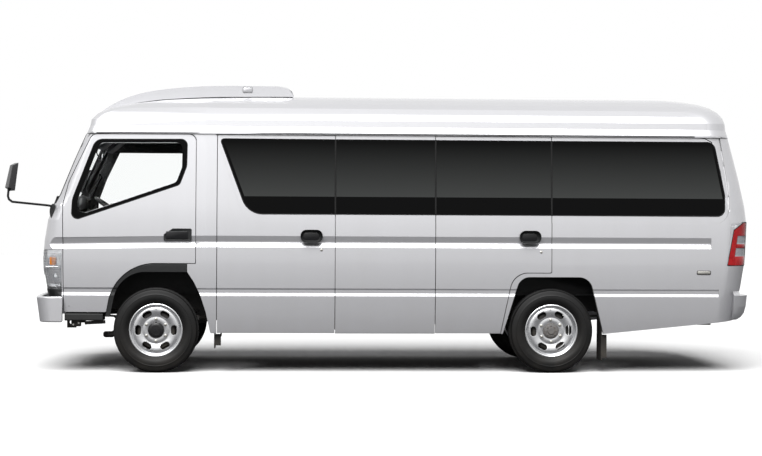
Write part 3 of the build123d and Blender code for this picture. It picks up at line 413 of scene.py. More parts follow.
class Effects:
    """Builds each shared effect once and places it in the materials that ask for it."""

    INPUTS = {
        Effect.SPECKLE: (("Scale", 300.0), ("Detail", 3.0)),
        Effect.GROUND_DUST: (("Top", 0.6), ("Depth", 0.5)),
        Effect.EDGE_WEAR: (("Radius", 0.004), ("Strength", 4.0)),
        Effect.WEAVE: (("Threads", 260.0),),
        Effect.STREAKS: (("Scale", 9.0),),
    }

    def __init__(self) -> None:
        """Starts with no group built."""
        self.made: dict[Effect, bpy.types.NodeTree] = {}

    def place(self, tree: Tree, effect: Effect, output: str = "Mask", **inputs: object) -> Socket:
        """Puts an effect in a material.

        Args:
            tree: The material's tree.
            effect: Which effect.
            output: The name of the wanted output.
            **inputs: Values of the effect's inputs.

        Returns:
            The output's socket.
        """
        if effect not in self.made:
            self.made[effect] = self.build(effect)
        node = put(tree, "ShaderNodeGroup", node_tree=self.made[effect])
        for key, value in inputs.items():
            node.inputs[key].default_value = value
        return node.outputs[output]

    def build(self, effect: Effect) -> bpy.types.NodeTree:
        """Makes the node group of one effect."""
        group = bpy.data.node_groups.new(effect.value, "ShaderNodeTree")
        for name, value in self.INPUTS[effect]:
            socket = group.interface.new_socket(name, in_out="INPUT", socket_type="NodeSocketFloat")
            socket.default_value = value
        group.interface.new_socket("Mask", in_out="OUTPUT", socket_type="NodeSocketFloat")
        given = put(group, "NodeGroupInput").outputs
        place = put(group, "ShaderNodeTexCoord").outputs["Object"]
        result = getattr(self, effect.value)(group, given, place)
        put(group, "NodeGroupOutput", {"Mask": result})
        return group

    @staticmethod
    def noise(group: Tree, place: Socket, scale: object, detail: object = 3.0) -> Socket:
        """A soft random value over the surface."""
        return put(
            group, "ShaderNodeTexNoise", {"Vector": place, "Scale": scale, "Detail": detail},
        ).outputs["Fac"]

    def speckle(self, group: Tree, given: dict[str, Socket], place: Socket) -> Socket:
        """Fine random grain, from 0 to 1."""
        return ramp(group, self.noise(group, place, given["Scale"], given["Detail"]), 0.3, 0.7)

    def ground_dust(self, group: Tree, given: dict[str, Socket], place: Socket) -> Socket:
        """Dust that thins out upwards from the ground, in soft patches."""
        height = put(group, "ShaderNodeSeparateXYZ", {0: place}).outputs["Z"]
        below = math_node(group, "SUBTRACT", given["Top"], height)
        share = math_node(group, "DIVIDE", below, given["Depth"], clamp=True)
        patches = ramp(group, self.noise(group, place, 7.0, 6.0), 0.3, 0.75)
        return math_node(group, "MULTIPLY", math_node(group, "POWER", share, 1.5), patches)

    def edge_wear(self, group: Tree, given: dict[str, Socket], place: Socket) -> Socket:
        """Rubbed places along convex edges, broken up by noise."""
        rounded = put(group, "ShaderNodeBevel", {"Radius": given["Radius"]}, samples=4).outputs[0]
        flat = put(group, "ShaderNodeNewGeometry").outputs["Normal"]
        along = put(
            group, "ShaderNodeVectorMath", {0: rounded, 1: flat}, operation="DOT_PRODUCT",
        ).outputs["Value"]
        turn = math_node(
            group, "MULTIPLY", math_node(group, "SUBTRACT", 1.0, along), given["Strength"], clamp=True,
        )
        return math_node(
            group, "MULTIPLY", turn, ramp(group, self.noise(group, place, 40.0, 5.0), 0.4, 0.65),
        )

    def weave(self, group: Tree, given: dict[str, Socket], place: Socket) -> Socket:
        """Crossing threads of a cloth."""
        scaled = put(
            group, "ShaderNodeVectorMath", {0: place, "Scale": given["Threads"]}, operation="SCALE",
        )
        cell = put(group, "ShaderNodeSeparateXYZ", {0: scaled.outputs[0]}).outputs
        waves = [
            math_node(group, "SINE", math_node(group, "MULTIPLY", cell[name], math.pi)) for name in "XYZ"
        ]
        pair = math_node(group, "MULTIPLY", waves[0], waves[1])
        total = math_node(group, "ADD", pair, math_node(group, "MULTIPLY", waves[1], waves[2]))
        return ramp(group, total, -1.2, 1.2)

    def streaks(self, group: Tree, given: dict[str, Socket], place: Socket) -> Socket:
        """Faint marks that run down the surface."""
        parts = put(group, "ShaderNodeSeparateXYZ", {0: place}).outputs
        short = math_node(group, "MULTIPLY", parts["Z"], 0.12)
        vector = put(
            group, "ShaderNodeCombineXYZ", {"X": parts["X"], "Y": parts["Y"], "Z": short},
        ).outputs[0]
        return ramp(group, self.noise(group, vector, given["Scale"], 5.0), 0.35, 0.7)


EFFECTS = Effects()


@dataclass(frozen=True)
class Finish:
    """A surface finish: a base colour with grain, dust and wear, and how it shines.

    Attributes:
        name: The material's name.
        colour: Base colour.
        shade: Second colour, which the grain mixes in.
        roughness: Least and most roughness.
        grain: Grain scale, per metre.
        relief: Depth of the grain's relief, in metres.
        dust: Share of road dust near the ground.
        worn: Colour of rubbed edges, or None.
        plain: Values set straight on the shader's sockets.
        effect: The effect that the grain comes from.
    """

    name: str
    colour: Colour
    shade: Colour
    roughness: tuple[float, float] = (0.4, 0.55)
    grain: float = 300.0
    relief: float = 0.0002
    dust: float = 0.0
    worn: Colour | None = None
    plain: tuple[tuple[str, object], ...] = ()
    effect: Effect = Effect.SPECKLE

    DUST_COLOUR = (0.30, 0.26, 0.21)

    def material(self) -> bpy.types.Material:
        """The finish's material, made the first time that it is asked for."""
        found = bpy.data.materials.get(self.name)
        if found:
            return found
        made = bpy.data.materials.new(self.name)
        made.use_nodes = True
        tree = made.node_tree
        tree.nodes.clear()
        shader = put(tree, "ShaderNodeBsdfPrincipled", dict(self.plain))
        self.dress(tree, shader)
        put(tree, "ShaderNodeOutputMaterial", {"Surface": shader.outputs[0]})
        return made

    def grain_mask(self, tree: Tree) -> Socket:
        """The effect that the grain comes from, at this finish's scale."""
        scale_name = Effects.INPUTS[self.effect][0][0]
        return EFFECTS.place(tree, self.effect, **{scale_name: self.grain})

    def dress(self, tree: Tree, shader: bpy.types.Node) -> None:
        """Feeds the shader's colour, roughness and normal."""
        mask = self.grain_mask(tree)
        colour = blend_colours(tree, mask, self.colour, self.shade)
        rough = spread(tree, mask, *self.roughness)
        if self.worn:
            wear = EFFECTS.place(tree, Effect.EDGE_WEAR)
            colour = blend_colours(tree, wear, colour, self.worn)
        if self.dust:
            dust = math_node(tree, "MULTIPLY", EFFECTS.place(tree, Effect.GROUND_DUST), self.dust)
            colour = blend_colours(tree, dust, colour, self.DUST_COLOUR)
            rough = math_node(tree, "MAXIMUM", rough, math_node(tree, "MULTIPLY", dust, 0.9))
        bump = None
        if self.relief:
            bump = put(tree, "ShaderNodeBump", {"Height": mask, "Distance": self.relief, "Strength": 0.6})
        feed(tree, shader, colour, rough, bump)


@dataclass(frozen=True)
class Paint(Finish):
    """Body paint: fine metal flake and slight orange peel under a clear coat, with faint streaks.

    Attributes:
        flake: Scale of the metal flake.
    """

    flake: float = 2600.0

    STREAK_COLOUR = (0.40, 0.39, 0.37)

    def dress(self, tree: Tree, shader: bpy.types.Node) -> None:
        """Feeds the flake, peel, streaks and dust to the shader."""
        flake = EFFECTS.place(tree, Effect.SPECKLE, Scale=self.flake)
        colour = blend_colours(tree, flake, self.colour, self.shade)
        streak = math_node(tree, "MULTIPLY", EFFECTS.place(tree, Effect.STREAKS), 0.06)
        colour = blend_colours(tree, streak, colour, self.STREAK_COLOUR)
        dust = math_node(tree, "MULTIPLY", EFFECTS.place(tree, Effect.GROUND_DUST), self.dust)
        colour = blend_colours(tree, dust, colour, self.DUST_COLOUR)
        rough = spread(tree, flake, *self.roughness)
        peel = EFFECTS.place(tree, Effect.SPECKLE, Scale=self.grain)
        bump = put(tree, "ShaderNodeBump", {"Height": peel, "Distance": self.relief, "Strength": 0.3})
        feed(tree, shader, colour, rough, bump)


@dataclass(frozen=True)
class GradedGlass(Finish):
    """Dark glass whose colour is painted paler towards its foot, a painted reflection over the real tint.

    Attributes:
        foot: Height of its palest level.
        head: Height of its darkest level.
    """

    foot: float = 1.50
    head: float = 1.95

    def dress(self, tree: Tree, shader: bpy.types.Node) -> None:
        """Feeds the tint with its painted reflection, paler towards the foot, and a trace of wiping marks."""
        place = put(tree, "ShaderNodeTexCoord").outputs["Object"]
        height = put(tree, "ShaderNodeSeparateXYZ", {0: place}).outputs["Z"]
        # painted reflection: the glass colour runs from the pale shade at the foot to the dark colour at the head
        rise = ramp(tree, height, self.foot, self.head)
        streak = EFFECTS.place(tree, Effect.STREAKS, Scale=self.grain)
        colour = blend_colours(tree, rise, self.shade, self.colour)
        feed(tree, shader, colour, spread(tree, streak, *self.roughness))


@dataclass(frozen=True)
class Lens(Finish):
    """A ribbed lamp lens.

    Attributes:
        ribs: Ribs to a metre.
    """

    ribs: float = 90.0

    SHINE = (0.04, 0.12)

    def dress(self, tree: Tree, shader: bpy.types.Node) -> None:
        """Feeds the lens's ribs and a slight colour change."""
        place = put(tree, "ShaderNodeTexCoord").outputs["Object"]
        parts = put(tree, "ShaderNodeSeparateXYZ", {0: place}).outputs
        wave = math_node(tree, "SINE", math_node(tree, "MULTIPLY", parts["Z"], self.ribs * math.tau))
        cross = math_node(tree, "SINE", math_node(tree, "MULTIPLY", parts["X"], self.ribs * math.tau))
        height = math_node(tree, "ADD", wave, math_node(tree, "MULTIPLY", cross, 0.4))
        mask = self.grain_mask(tree)
        colour = blend_colours(tree, mask, self.colour, self.shade)
        bump = put(tree, "ShaderNodeBump", {"Height": height, "Distance": self.relief, "Strength": 0.7})
        feed(tree, shader, colour, spread(tree, mask, *self.SHINE), bump)


def coat(weight: float, roughness: float = 0.04) -> tuple[tuple[str, object], ...]:
    """Socket values of a clear coat."""
    return (("Coat Weight", weight), ("Coat Roughness", roughness))


METAL = (("Metallic", 1.0),)
GLASS = (("Transmission Weight", 1.0), ("IOR", 1.03))

PAINT = Paint(
    "white_silver_paint", (0.58, 0.58, 0.595), (0.52, 0.52, 0.54), (0.34, 0.44), 900.0, 0.00003, 0.25,
    plain=(("Metallic", 0.68), *coat(0.6)),
)
TRIM = Finish(
    "grained_black_plastic", (0.010, 0.0105, 0.011), (0.018, 0.0185, 0.019), (0.42, 0.62), 900.0, 0.0004,
    0.2, (0.05, 0.05, 0.05), (("Specular IOR Level", 0.30),),
)
SATIN = Finish(
    "satin_black_plastic", (0.008, 0.008, 0.009), (0.014, 0.014, 0.015), (0.22, 0.34), 500.0, 0.00006,
    plain=(("Specular IOR Level", 0.30),),
)
RUBBER = Finish(
    "seal_rubber", (0.007, 0.007, 0.007), (0.012, 0.012, 0.012), (0.55, 0.75), 260.0, 0.0002, 0.2,
    plain=(("Specular IOR Level", 0.25),),
)
TYRE = Finish(
    "tread_rubber", (0.0035, 0.0035, 0.0036), (0.0065, 0.0064, 0.0063), (0.42, 0.60), 180.0, 0.0004, 0.05,
    (0.012, 0.012, 0.012), (("Specular IOR Level", 0.22),),
)
WHEEL = Finish(
    "polished_wheel_metal", (0.66, 0.665, 0.675), (0.60, 0.605, 0.615), (0.26, 0.34), 25.0, 0.00002, 0.08,
    plain=METAL,
)
ZINC = Finish(
    "plated_steel", (0.52, 0.51, 0.48), (0.38, 0.37, 0.34), (0.28, 0.48), 160.0, 0.0001, plain=METAL,
)
CHASSIS = Finish(
    "chassis_black_paint", (0.010, 0.010, 0.010), (0.020, 0.019, 0.018), (0.42, 0.68), 130.0, 0.0004, 0.35,
    (0.08, 0.05, 0.03), (("Specular IOR Level", 0.30),),
)
IRON = Finish(
    "rough_cast_iron", (0.10, 0.10, 0.105), (0.17, 0.165, 0.16), (0.55, 0.8), 220.0, 0.0009, 0.5,
    (0.2, 0.12, 0.07), (("Metallic", 0.55),),
)
EXHAUST = Finish(
    "aluminised_steel", (0.32, 0.30, 0.27), (0.20, 0.15, 0.11), (0.4, 0.7), 45.0, 0.0004, 0.5,
    (0.25, 0.13, 0.07), (("Metallic", 0.85),),
)
CLEAR_GLASS = GradedGlass(
    "cab_window_glass", (0.975, 0.985, 0.982), (0.975, 0.985, 0.982), (0.0, 0.015), 6.0, 0.0, plain=GLASS,
)
# the second, paler colour is a painted reflection towards the foot of the glass
TINTED_GLASS = GradedGlass(
    "dark_film_glass", (0.0020, 0.0021, 0.0021), (0.042, 0.044, 0.043), (0.02, 0.05), 6.0, 0.0,
    plain=(("Transmission Weight", 0.0), ("IOR", 1.45), ("Specular IOR Level", 0.08)),
)
BAND = Finish(
    "black_window_band", (0.0016, 0.0016, 0.0017), (0.0026, 0.0026, 0.0027), (0.10, 0.16), 500.0, 0.00002,
    plain=(("Specular IOR Level", 0.06),),
)
MIRROR = Finish(
    "mirror_silver", (0.86, 0.88, 0.88), (0.82, 0.84, 0.84), (0.02, 0.04), 30.0, 0.0, plain=METAL,
)
LENS_CLEAR = Lens(
    "clear_lens", (0.93, 0.94, 0.95), (0.88, 0.89, 0.90), grain=60.0, relief=0.0005, ribs=45.0,
    plain=(("Transmission Weight", 0.92), ("IOR", 1.49)),
)
LENS_AMBER = Lens(
    "amber_lens", (0.92, 0.30, 0.02), (0.80, 0.22, 0.01), grain=60.0, relief=0.0004, ribs=110.0,
    plain=(("Transmission Weight", 0.4), ("IOR", 1.49)),
)
LENS_RED = Lens(
    "ribbed_red_lens", (0.42, 0.005, 0.007), (0.28, 0.003, 0.005), grain=60.0, relief=0.0004, ribs=110.0,
    plain=(("Transmission Weight", 0.0), ("IOR", 1.49), ("Specular IOR Level", 0.35)),
)
LENS_WHITE = Lens(
    "frosted_lens", (0.80, 0.81, 0.82), (0.70, 0.71, 0.72), grain=60.0, relief=0.0004, ribs=110.0,
    plain=(("Transmission Weight", 0.3), ("IOR", 1.49)),
)
LENS_SMOKE = Lens(
    "smoked_lens", (0.34, 0.34, 0.36), (0.26, 0.26, 0.28), grain=60.0, relief=0.0004, ribs=110.0,
    plain=(("Transmission Weight", 0.0), ("IOR", 1.49)),
)
REFLECTOR = Finish(
    "lamp_reflector", (0.90, 0.90, 0.91), (0.82, 0.82, 0.84), (0.05, 0.12), 20.0, 0.0001, plain=METAL,
)
CLOTH = Finish(
    "woven_seat_cloth", (0.075, 0.080, 0.095), (0.125, 0.130, 0.150), (0.8, 0.95), 420.0, 0.0006,
    plain=(("Sheen Weight", 0.35), ("Sheen Roughness", 0.5)), effect=Effect.WEAVE,
)
VINYL = Finish("seat_side_vinyl", (0.030, 0.032, 0.036), (0.045, 0.047, 0.052), (0.38, 0.55), 420.0, 0.0004)
MAT = Finish("floor_mat", (0.055, 0.055, 0.057), (0.085, 0.085, 0.087), (0.6, 0.8), 150.0, 0.0006)
LINING = Finish("lining_cloth", (0.20, 0.20, 0.19), (0.15, 0.15, 0.145), (0.85, 0.98), 700.0, 0.0004)
DASH = Finish("dash_plastic", (0.022, 0.023, 0.025), (0.034, 0.035, 0.037), (0.45, 0.62), 600.0, 0.0005)
DIAL = Finish("dial_face", (0.010, 0.010, 0.012), (0.020, 0.020, 0.022), (0.3, 0.4), 300.0, 0.0)
PALE = Finish("pale_plastic", (0.46, 0.47, 0.48), (0.40, 0.41, 0.42), (0.35, 0.5), 400.0, 0.0001)


def dress(piece: Piece, *finishes: Finish) -> Piece:
    """Gives a piece its finishes, one to each material slot."""
    piece.data.materials.clear()
    for finish in finishes:
        piece.data.materials.append(finish.material())
    return piece


def finished(
    piece: Piece, body: str, slot: str, *finishes: Finish, stands_for: Sequence[str] = ()
) -> Piece:
    """Dresses a piece and lets it ride on its body.

    Args:
        piece: The finished mesh.
        body: The body that it moves with.
        slot: The record's material slot; not used.
        *finishes: One finish for each material slot, or none where they are already there.
        stands_for: The CAD nodes that it replaces.

    Returns:
        The same piece.
    """
    if finishes:
        dress(piece, *finishes)
    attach(piece, body)
    if stands_for:
        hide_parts(*stands_for)
    LOG.info("%s: %d faces on %s", piece.name, len(piece.data.polygons), body)
    return piece


def fitted(piece: Piece, *finishes: Finish) -> Piece:
    """Finishes a black plastic piece that stays on the body and stands for no CAD node."""
    return finished(piece, ROOT, "black_plastic", *finishes)


# ---------------------------------------------------------------- shared shapes


@lru_cache(maxsize=None)
def tree_of(node: str) -> BVHTree:
    """A search tree of a CAD node's faces."""
    mesh = frame["nodes"][node].data
    return BVHTree.FromPolygons(
        [v.co for v in mesh.vertices], [tuple(face.vertices) for face in mesh.polygons],
    )


def touch(node: str, start: Point, towards: Point) -> Vector | None:
    """Where a straight line from a point first meets a CAD node."""
    return tree_of(node).ray_cast(Vector(start), Vector(towards))[0]


def from_ahead(node: str, y: float, z: float) -> Vector:
    """Where a CAD node is first met from in front of the vehicle."""
    return touch(node, (-3.6, y, z), (1.0, 0.0, 0.0))


def from_behind(node: str, y: float, z: float) -> Vector:
    """Where a CAD node is first met from behind the vehicle."""
    return touch(node, (4.0, y, z), (-1.0, 0.0, 0.0))


def flank(node: str, x: float, z: float, side: Side = Side.LEFT) -> float:
    """Y of a CAD node's outer face at a place on a flank."""
    return touch(node, (x, side.value * 3.0, z), (0.0, -side.value, 0.0)).y


def lathe(name: str, centre: Point, profile: Sequence[tuple[float, float]], steps: int = 72) -> Piece:
    """A turned piece about a line along Y.

    Args:
        name: The piece's name.
        centre: Where the axis meets the profile's zero.
        profile: Radius and outward place of each point, ending where it starts for a closed piece.
        steps: Parts of a turn.

    Returns:
        The new piece.
    """
    deselect()
    bpy.ops.mesh.primitive_plane_add(size=0.01)
    piece = bpy.context.object
    with editing(piece, "VERT"):
        bpy.ops.mesh.select_all(action="SELECT")
        bpy.ops.mesh.merge(type="CENTER")
        bpy.ops.transform.translate(value=(profile[0][0], profile[0][1], 0.0))
        for start, end in zip(profile, profile[1:]):
            step = (end[0] - start[0], end[1] - start[1], 0.0)
            bpy.ops.mesh.extrude_vertices_move(TRANSFORM_OT_translate={"value": step})
        bpy.ops.mesh.select_all(action="SELECT")
        bpy.ops.mesh.spin(steps=steps, angle=math.tau, center=(0.0, 0.0, 0.0), axis=(0.0, 1.0, 0.0))
        bpy.ops.mesh.select_all(action="SELECT")
        bpy.ops.mesh.remove_doubles(threshold=MERGE)
        bpy.ops.mesh.normals_make_consistent(inside=False)
    piece.location = centre
    return named(name)


def ring_of(piece: Piece, count: int, axis: str, pivot: Point) -> list[Piece]:
    """A piece and its copies, evenly spaced round a line."""
    turns = [
        turned(piece, piece.name, axis, math.tau * number / count, pivot) for number in range(1, count)
    ]
    return [piece, *turns]


def tube(name: str, points: Sequence[Point], radius: float, sides: int = 16) -> Piece:
    """A bent bar through several points, with round knees."""
    bars = [rod(name, start, end, radius, sides) for start, end in zip(points, points[1:])]
    for knee in points[1:-1]:
        deselect()
        bpy.ops.mesh.primitive_uv_sphere_add(segments=sides, ring_count=10, radius=radius, location=knee)
        bars.append(named(name))
    return smooth(joined(name, bars), 50.0)


def lip(pane: Piece, name: str, test: FaceTest, radius: float) -> Piece:
    """A round bead that follows the outline of the faces that pass a test."""
    edge = copied(pane, name)
    pick(edge, test)
    with editing(edge):
        bpy.ops.mesh.select_all(action="INVERT")
        bpy.ops.mesh.delete(type="FACE")
        bpy.ops.mesh.select_mode(type="EDGE")
        bpy.ops.mesh.select_all(action="DESELECT")
        bpy.ops.mesh.select_non_manifold(
            extend=False, use_wire=False, use_multi_face=False, use_verts=False,
        )
        bpy.ops.mesh.select_all(action="INVERT")
        bpy.ops.mesh.delete(type="EDGE_FACE")
    take(edge)
    bpy.ops.object.convert(target="CURVE")
    bead = bpy.context.object
    bead.data.bevel_depth = radius
    bead.data.bevel_resolution = 2
    bpy.ops.object.convert(target="MESH")
    bead.data.materials.clear()
    return smooth(named(name), 60.0)


def slab(name: str, low: Point, high: Point, radius: float, axis: Axis, edge: float = 0.0015) -> Piece:
    """A plate with its corners rounded across an axis, and its rims softened.

    Args:
        name: The piece's name.
        low: Lowest corner.
        high: Highest corner.
        radius: Corner radius.
        axis: The direction that the plate is thin along.
        edge: Width of the softened rim.

    Returns:
        The new piece.
    """
    piece = box(name, low, high)
    mesh = piece.data
    mesh.edges.foreach_set("select", [False] * len(mesh.edges))
    mesh.vertices.foreach_set("select", [False] * len(mesh.vertices))
    mesh.polygons.foreach_set("select", [False] * len(mesh.polygons))
    for line in mesh.edges:
        run = mesh.vertices[line.vertices[1]].co - mesh.vertices[line.vertices[0]].co
        line.select = abs(run.normalized().dot(axis.value)) > 0.9
    with editing(piece, "EDGE"):
        bpy.ops.mesh.bevel(offset=radius, segments=6, affect="EDGES")
    return smooth(round_off(piece, edge, 2, 60.0) if edge else piece, 40.0)


def slice_through(piece: Piece, point: Point, normal: Point) -> None:
    """Cuts a piece's faces along a plane, and keeps both parts."""
    with editing(piece):
        bpy.ops.mesh.select_all(action="SELECT")
        bpy.ops.mesh.bisect(plane_co=point, plane_no=normal)


def give(piece: Piece, number: int, test: FaceTest) -> None:
    """Gives a material slot's number to the faces that pass a test."""
    for face in piece.data.polygons:
        if test(face.center, face.normal):
            face.material_index = number


# ---------------------------------------------------------------- bodywork


@dataclass(frozen=True)
class Bodywork:
    """The painted skins, each with a dark lining on its inner faces.

    Attributes:
        panels: The nodes that are body panels.
        bumper_foot: Length of the front bumper's foot, as a share of what it was.
        rear_bumper_drop: How far the rear bumper's upper edge comes down.
    """

    panels: tuple[str, ...] = (
        "cab_door_left", "cab_door_right", "front_passenger_door", "rear_passenger_door", "left_side_panel",
        "right_side_panel", "front_panel", "rear_frame", "tailgate", "roof_panel",
    )
    bumper_foot: float = 0.87
    rear_bumper_drop: float = -0.070

    def build(self) -> None:
        """Dresses every painted panel of the body."""
        for node in self.panels:
            self.panel(node)
        bumper = skin("front_bumper", "front_bumper_shell")
        low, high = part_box("front_bumper")
        pick(bumper, facing(-Axis.Z.value, 0.9))
        with editing(bumper):
            size, centre = (self.bumper_foot, 1.0, 1.0), (high.x, 0.0, low.z)
            bpy.ops.transform.resize(value=size, center_override=centre)
        finished(
            smooth(round_off(bumper, 0.010, 3), 40.0), ROOT, "body_paint", PAINT,
            stands_for=("front_bumper",),
        )
        bumper = skin("rear_bumper", "rear_bumper_shell")
        pick(bumper, facing(Axis.Z.value, 0.9))
        with editing(bumper):
            bpy.ops.transform.translate(value=(0.0, 0.0, self.rear_bumper_drop))
        finished(bumper, ROOT, "body_paint", PAINT, stands_for=("rear_bumper",))
        finished(
            skin("arch_flares", "wheel_arch_flares"), ROOT, "black_plastic", TRIM,
            stands_for=("arch_flares",),
        )

    @staticmethod
    def inner(centre: Vector, normal: Vector) -> bool:
        """Tells whether a face looks into the cab or the saloon."""
        x = min(max(centre.x, front(-0.35)), rear(1.15))
        outward = centre - Vector((x, 0.0, min(max(centre.z, 0.9), 1.75)))
        return centre.z > 0.55 and normal.dot(outward.normalized()) < 0.2

    def panel(self, node: str) -> None:
        """Dresses one panel, paint outside and lining inside."""
        piece = skin(node, f"{node}_panel")
        dress(piece, PAINT, DASH if node.startswith(("cab", "front_panel")) else LINING)
        give(piece, 1, self.inner)
        finished(faired(piece), body_of(node), "body_paint", stands_for=(node,))


@dataclass(frozen=True)
class Glazing:
    """Panes with their black bands and rubber beads.

    Attributes:
        band_low: Top of the black band along the foot of the saloon glass.
        band_high: Foot of the black band along its head.
        band_ends: Places and slants of the black bands at the ends of the saloon glass.
        screen_edge: Width of the black border of the windscreen.
        screen_half: Half the windscreen's width at its foot and at its head.
        screen_bead: Radius of the windscreen's bead.
        tail_edge: Width of the black border of the tailgate's pane.
        tail_bead: Radius of that pane's bead.
        bead: Radius of the rubber bead round each pane.
        cab_window: Corners of a cab window.
        cab_corner: Corner radius of its clear part.
        cab_edges: Width of its black border along each side.
    """

    band_low: float = 1.490
    band_high: float = 1.945
    band_ends: tuple[tuple[Point, Point], ...] = (
        ((front(0.556), 0.0, 1.977), (0.936, 0.0, 0.351)),
        ((rear(1.366), 0.0, 1.977), (-0.981, 0.0, -0.194)),
    )
    screen_edge: float = 0.045
    screen_half: tuple[float, float] = (0.793, 0.745)
    screen_bead: float = 0.007
    tail_edge: float = 0.04
    tail_bead: float = 0.006
    bead: float = 0.0042
    cab_window: tuple[tuple[float, float], ...] = (
        (-0.716, 1.266), (-0.706, 1.460), (-0.515, 1.968), (0.262, 1.971), (0.258, 1.740), (0.198, 1.580),
    )
    cab_corner: float = 0.060
    cab_edges: tuple[float, ...] = (0.048, 0.046, 0.030, 0.044, 0.038, 0.032)

    def build(self) -> None:
        """Makes every pane of the vehicle."""
        self.saloon()
        for side in Side:
            self.cab(side)
        self.screen()
        self.tail()

    def saloon(self) -> None:
        """The dark side glass, on the body and on the passenger doors."""
        for node in ("side_windows", "front_passenger_door_glass", "rear_passenger_door_glass"):
            pane = skin(node, f"{node}_pane")
            ends = [(Vector(place), Vector(way)) for place, way in self.band_ends]
            up = Axis.Z.value
            edges = [(up * self.band_low, up), (up * self.band_high, -up), *ends]
            self.bordered(pane, edges, TINTED_GLASS)
            give(pane, 1, lambda centre, normal: abs(normal.y) < 0.5)
            body = body_of(node)
            finished(pane, body, "tinted_glass", stands_for=(node,))
            for side in Side:
                outer = facing(Vector((0.0, side.value, 0.0)), 0.6)
                if pick(pane, outer):
                    bead = lip(pane, f"{node}_bead_{side.word}", outer, self.bead)
                    finished(bead, body, "black_plastic", RUBBER)

    @staticmethod
    def bordered(pane: Piece, edges: Sequence[tuple[Vector, Vector]], glass: Finish) -> None:
        """Cuts a pane along the inner edges of its border, and blackens what lies outside them."""
        for point, inward in edges:
            slice_through(pane, point, inward)
        dress(pane, glass, BAND)
        give(pane, 1, lambda place, _: any((place - point).dot(way) < 0 for point, way in edges))

    def cab(self, side: Side) -> None:
        """One cab door's clear window with its black border."""
        name = f"cab_door_glass_{side.word}"
        pane = skin(name, f"{name}_pane")
        corners = [Vector((front(x), 0.0, z)) for x, z in self.cab_window]
        centre = sum(corners, Vector()) / len(corners)
        inwards = []
        for start, end in zip(corners, corners[1:] + corners[:1]):
            run = (end - start).normalized()
            way = Vector((-run.z, 0.0, run.x))
            inwards.append(way if way.dot(centre - start) > 0 else -way)
        edges = [
            (corner + way * width, way) for corner, way, width in zip(corners, inwards, self.cab_edges)
        ]
        lines = list(zip(edges[-1:] + edges[:-1], edges))
        for (first, first_way), (second, second_way) in lines:
            bend = second_way - first_way * first_way.dot(second_way)
            reach = (second - first).dot(second_way) / bend.dot(second_way)
            meeting = first + bend * reach
            half = (math.pi - first_way.angle(second_way)) / 2
            middle_way = (first_way + second_way).normalized()
            hub = meeting + middle_way * (self.cab_corner / math.sin(half))
            for share in (0.2, 0.4, 0.6, 0.8):
                way = first_way.lerp(second_way, share).normalized()
                edges.append((hub - way * self.cab_corner, way))
        self.bordered(pane, edges, CLEAR_GLASS)
        give(pane, 1, lambda place, normal: abs(normal.y) < 0.5)
        body = body_of(name)
        finished(pane, body, "clear_glass", stands_for=(name,))
        outer = facing(Vector((0.0, side.value, 0.0)), 0.5)
        finished(lip(pane, f"{name}_bead", outer, self.bead), body, "black_plastic", RUBBER)

    def screen(self) -> None:
        """The windscreen, clear inside a black border."""
        pane = skin("windscreen", "windscreen_pane")
        low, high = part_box("windscreen")
        edges = [
            (Vector((0.0, 0.0, low.z + self.screen_edge)), Vector((0.0, 0.0, 1.0))),
            (Vector((0.0, 0.0, high.z - self.screen_edge)), Vector((0.0, 0.0, -1.0))),
        ]
        foot_half, head_half = self.screen_half
        for sign in BOTH:
            foot = Vector((low.x, sign * foot_half, low.z))
            head = Vector((high.x, sign * head_half, high.z))
            inward = Vector((0.0, -sign, 0.0))
            edges.append((foot.lerp(head, 0.5) + inward * self.screen_edge, inward))
        self.bordered(pane, edges, CLEAR_GLASS)
        finished(pane, ROOT, "clear_glass", stands_for=("windscreen",))
        outer = facing(Vector((-1.0, 0.0, 0.3)).normalized(), 0.4)
        fitted(lip(pane, "windscreen_bead", outer, self.screen_bead), RUBBER)

    def tail(self) -> None:
        """The tailgate's dark pane."""
        pane = skin("tailgate_glass", "tailgate_pane")
        low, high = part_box("tailgate_glass")
        edges = []
        for axis, near, far in ((Axis.Z.value, low.z, high.z), (Axis.Y.value, low.y, high.y)):
            edges += [(axis * (near + self.tail_edge), axis), (axis * (far - self.tail_edge), -axis)]
        self.bordered(pane, edges, TINTED_GLASS)
        finished(pane, "tailgate", "tinted_glass", stands_for=("tailgate_glass",))
        outer = facing(Vector((1.0, 0.0, 0.1)).normalized(), 0.5)
        finished(
            lip(pane, "tailgate_glass_bead", outer, self.tail_bead), "tailgate", "black_plastic", RUBBER,
        )


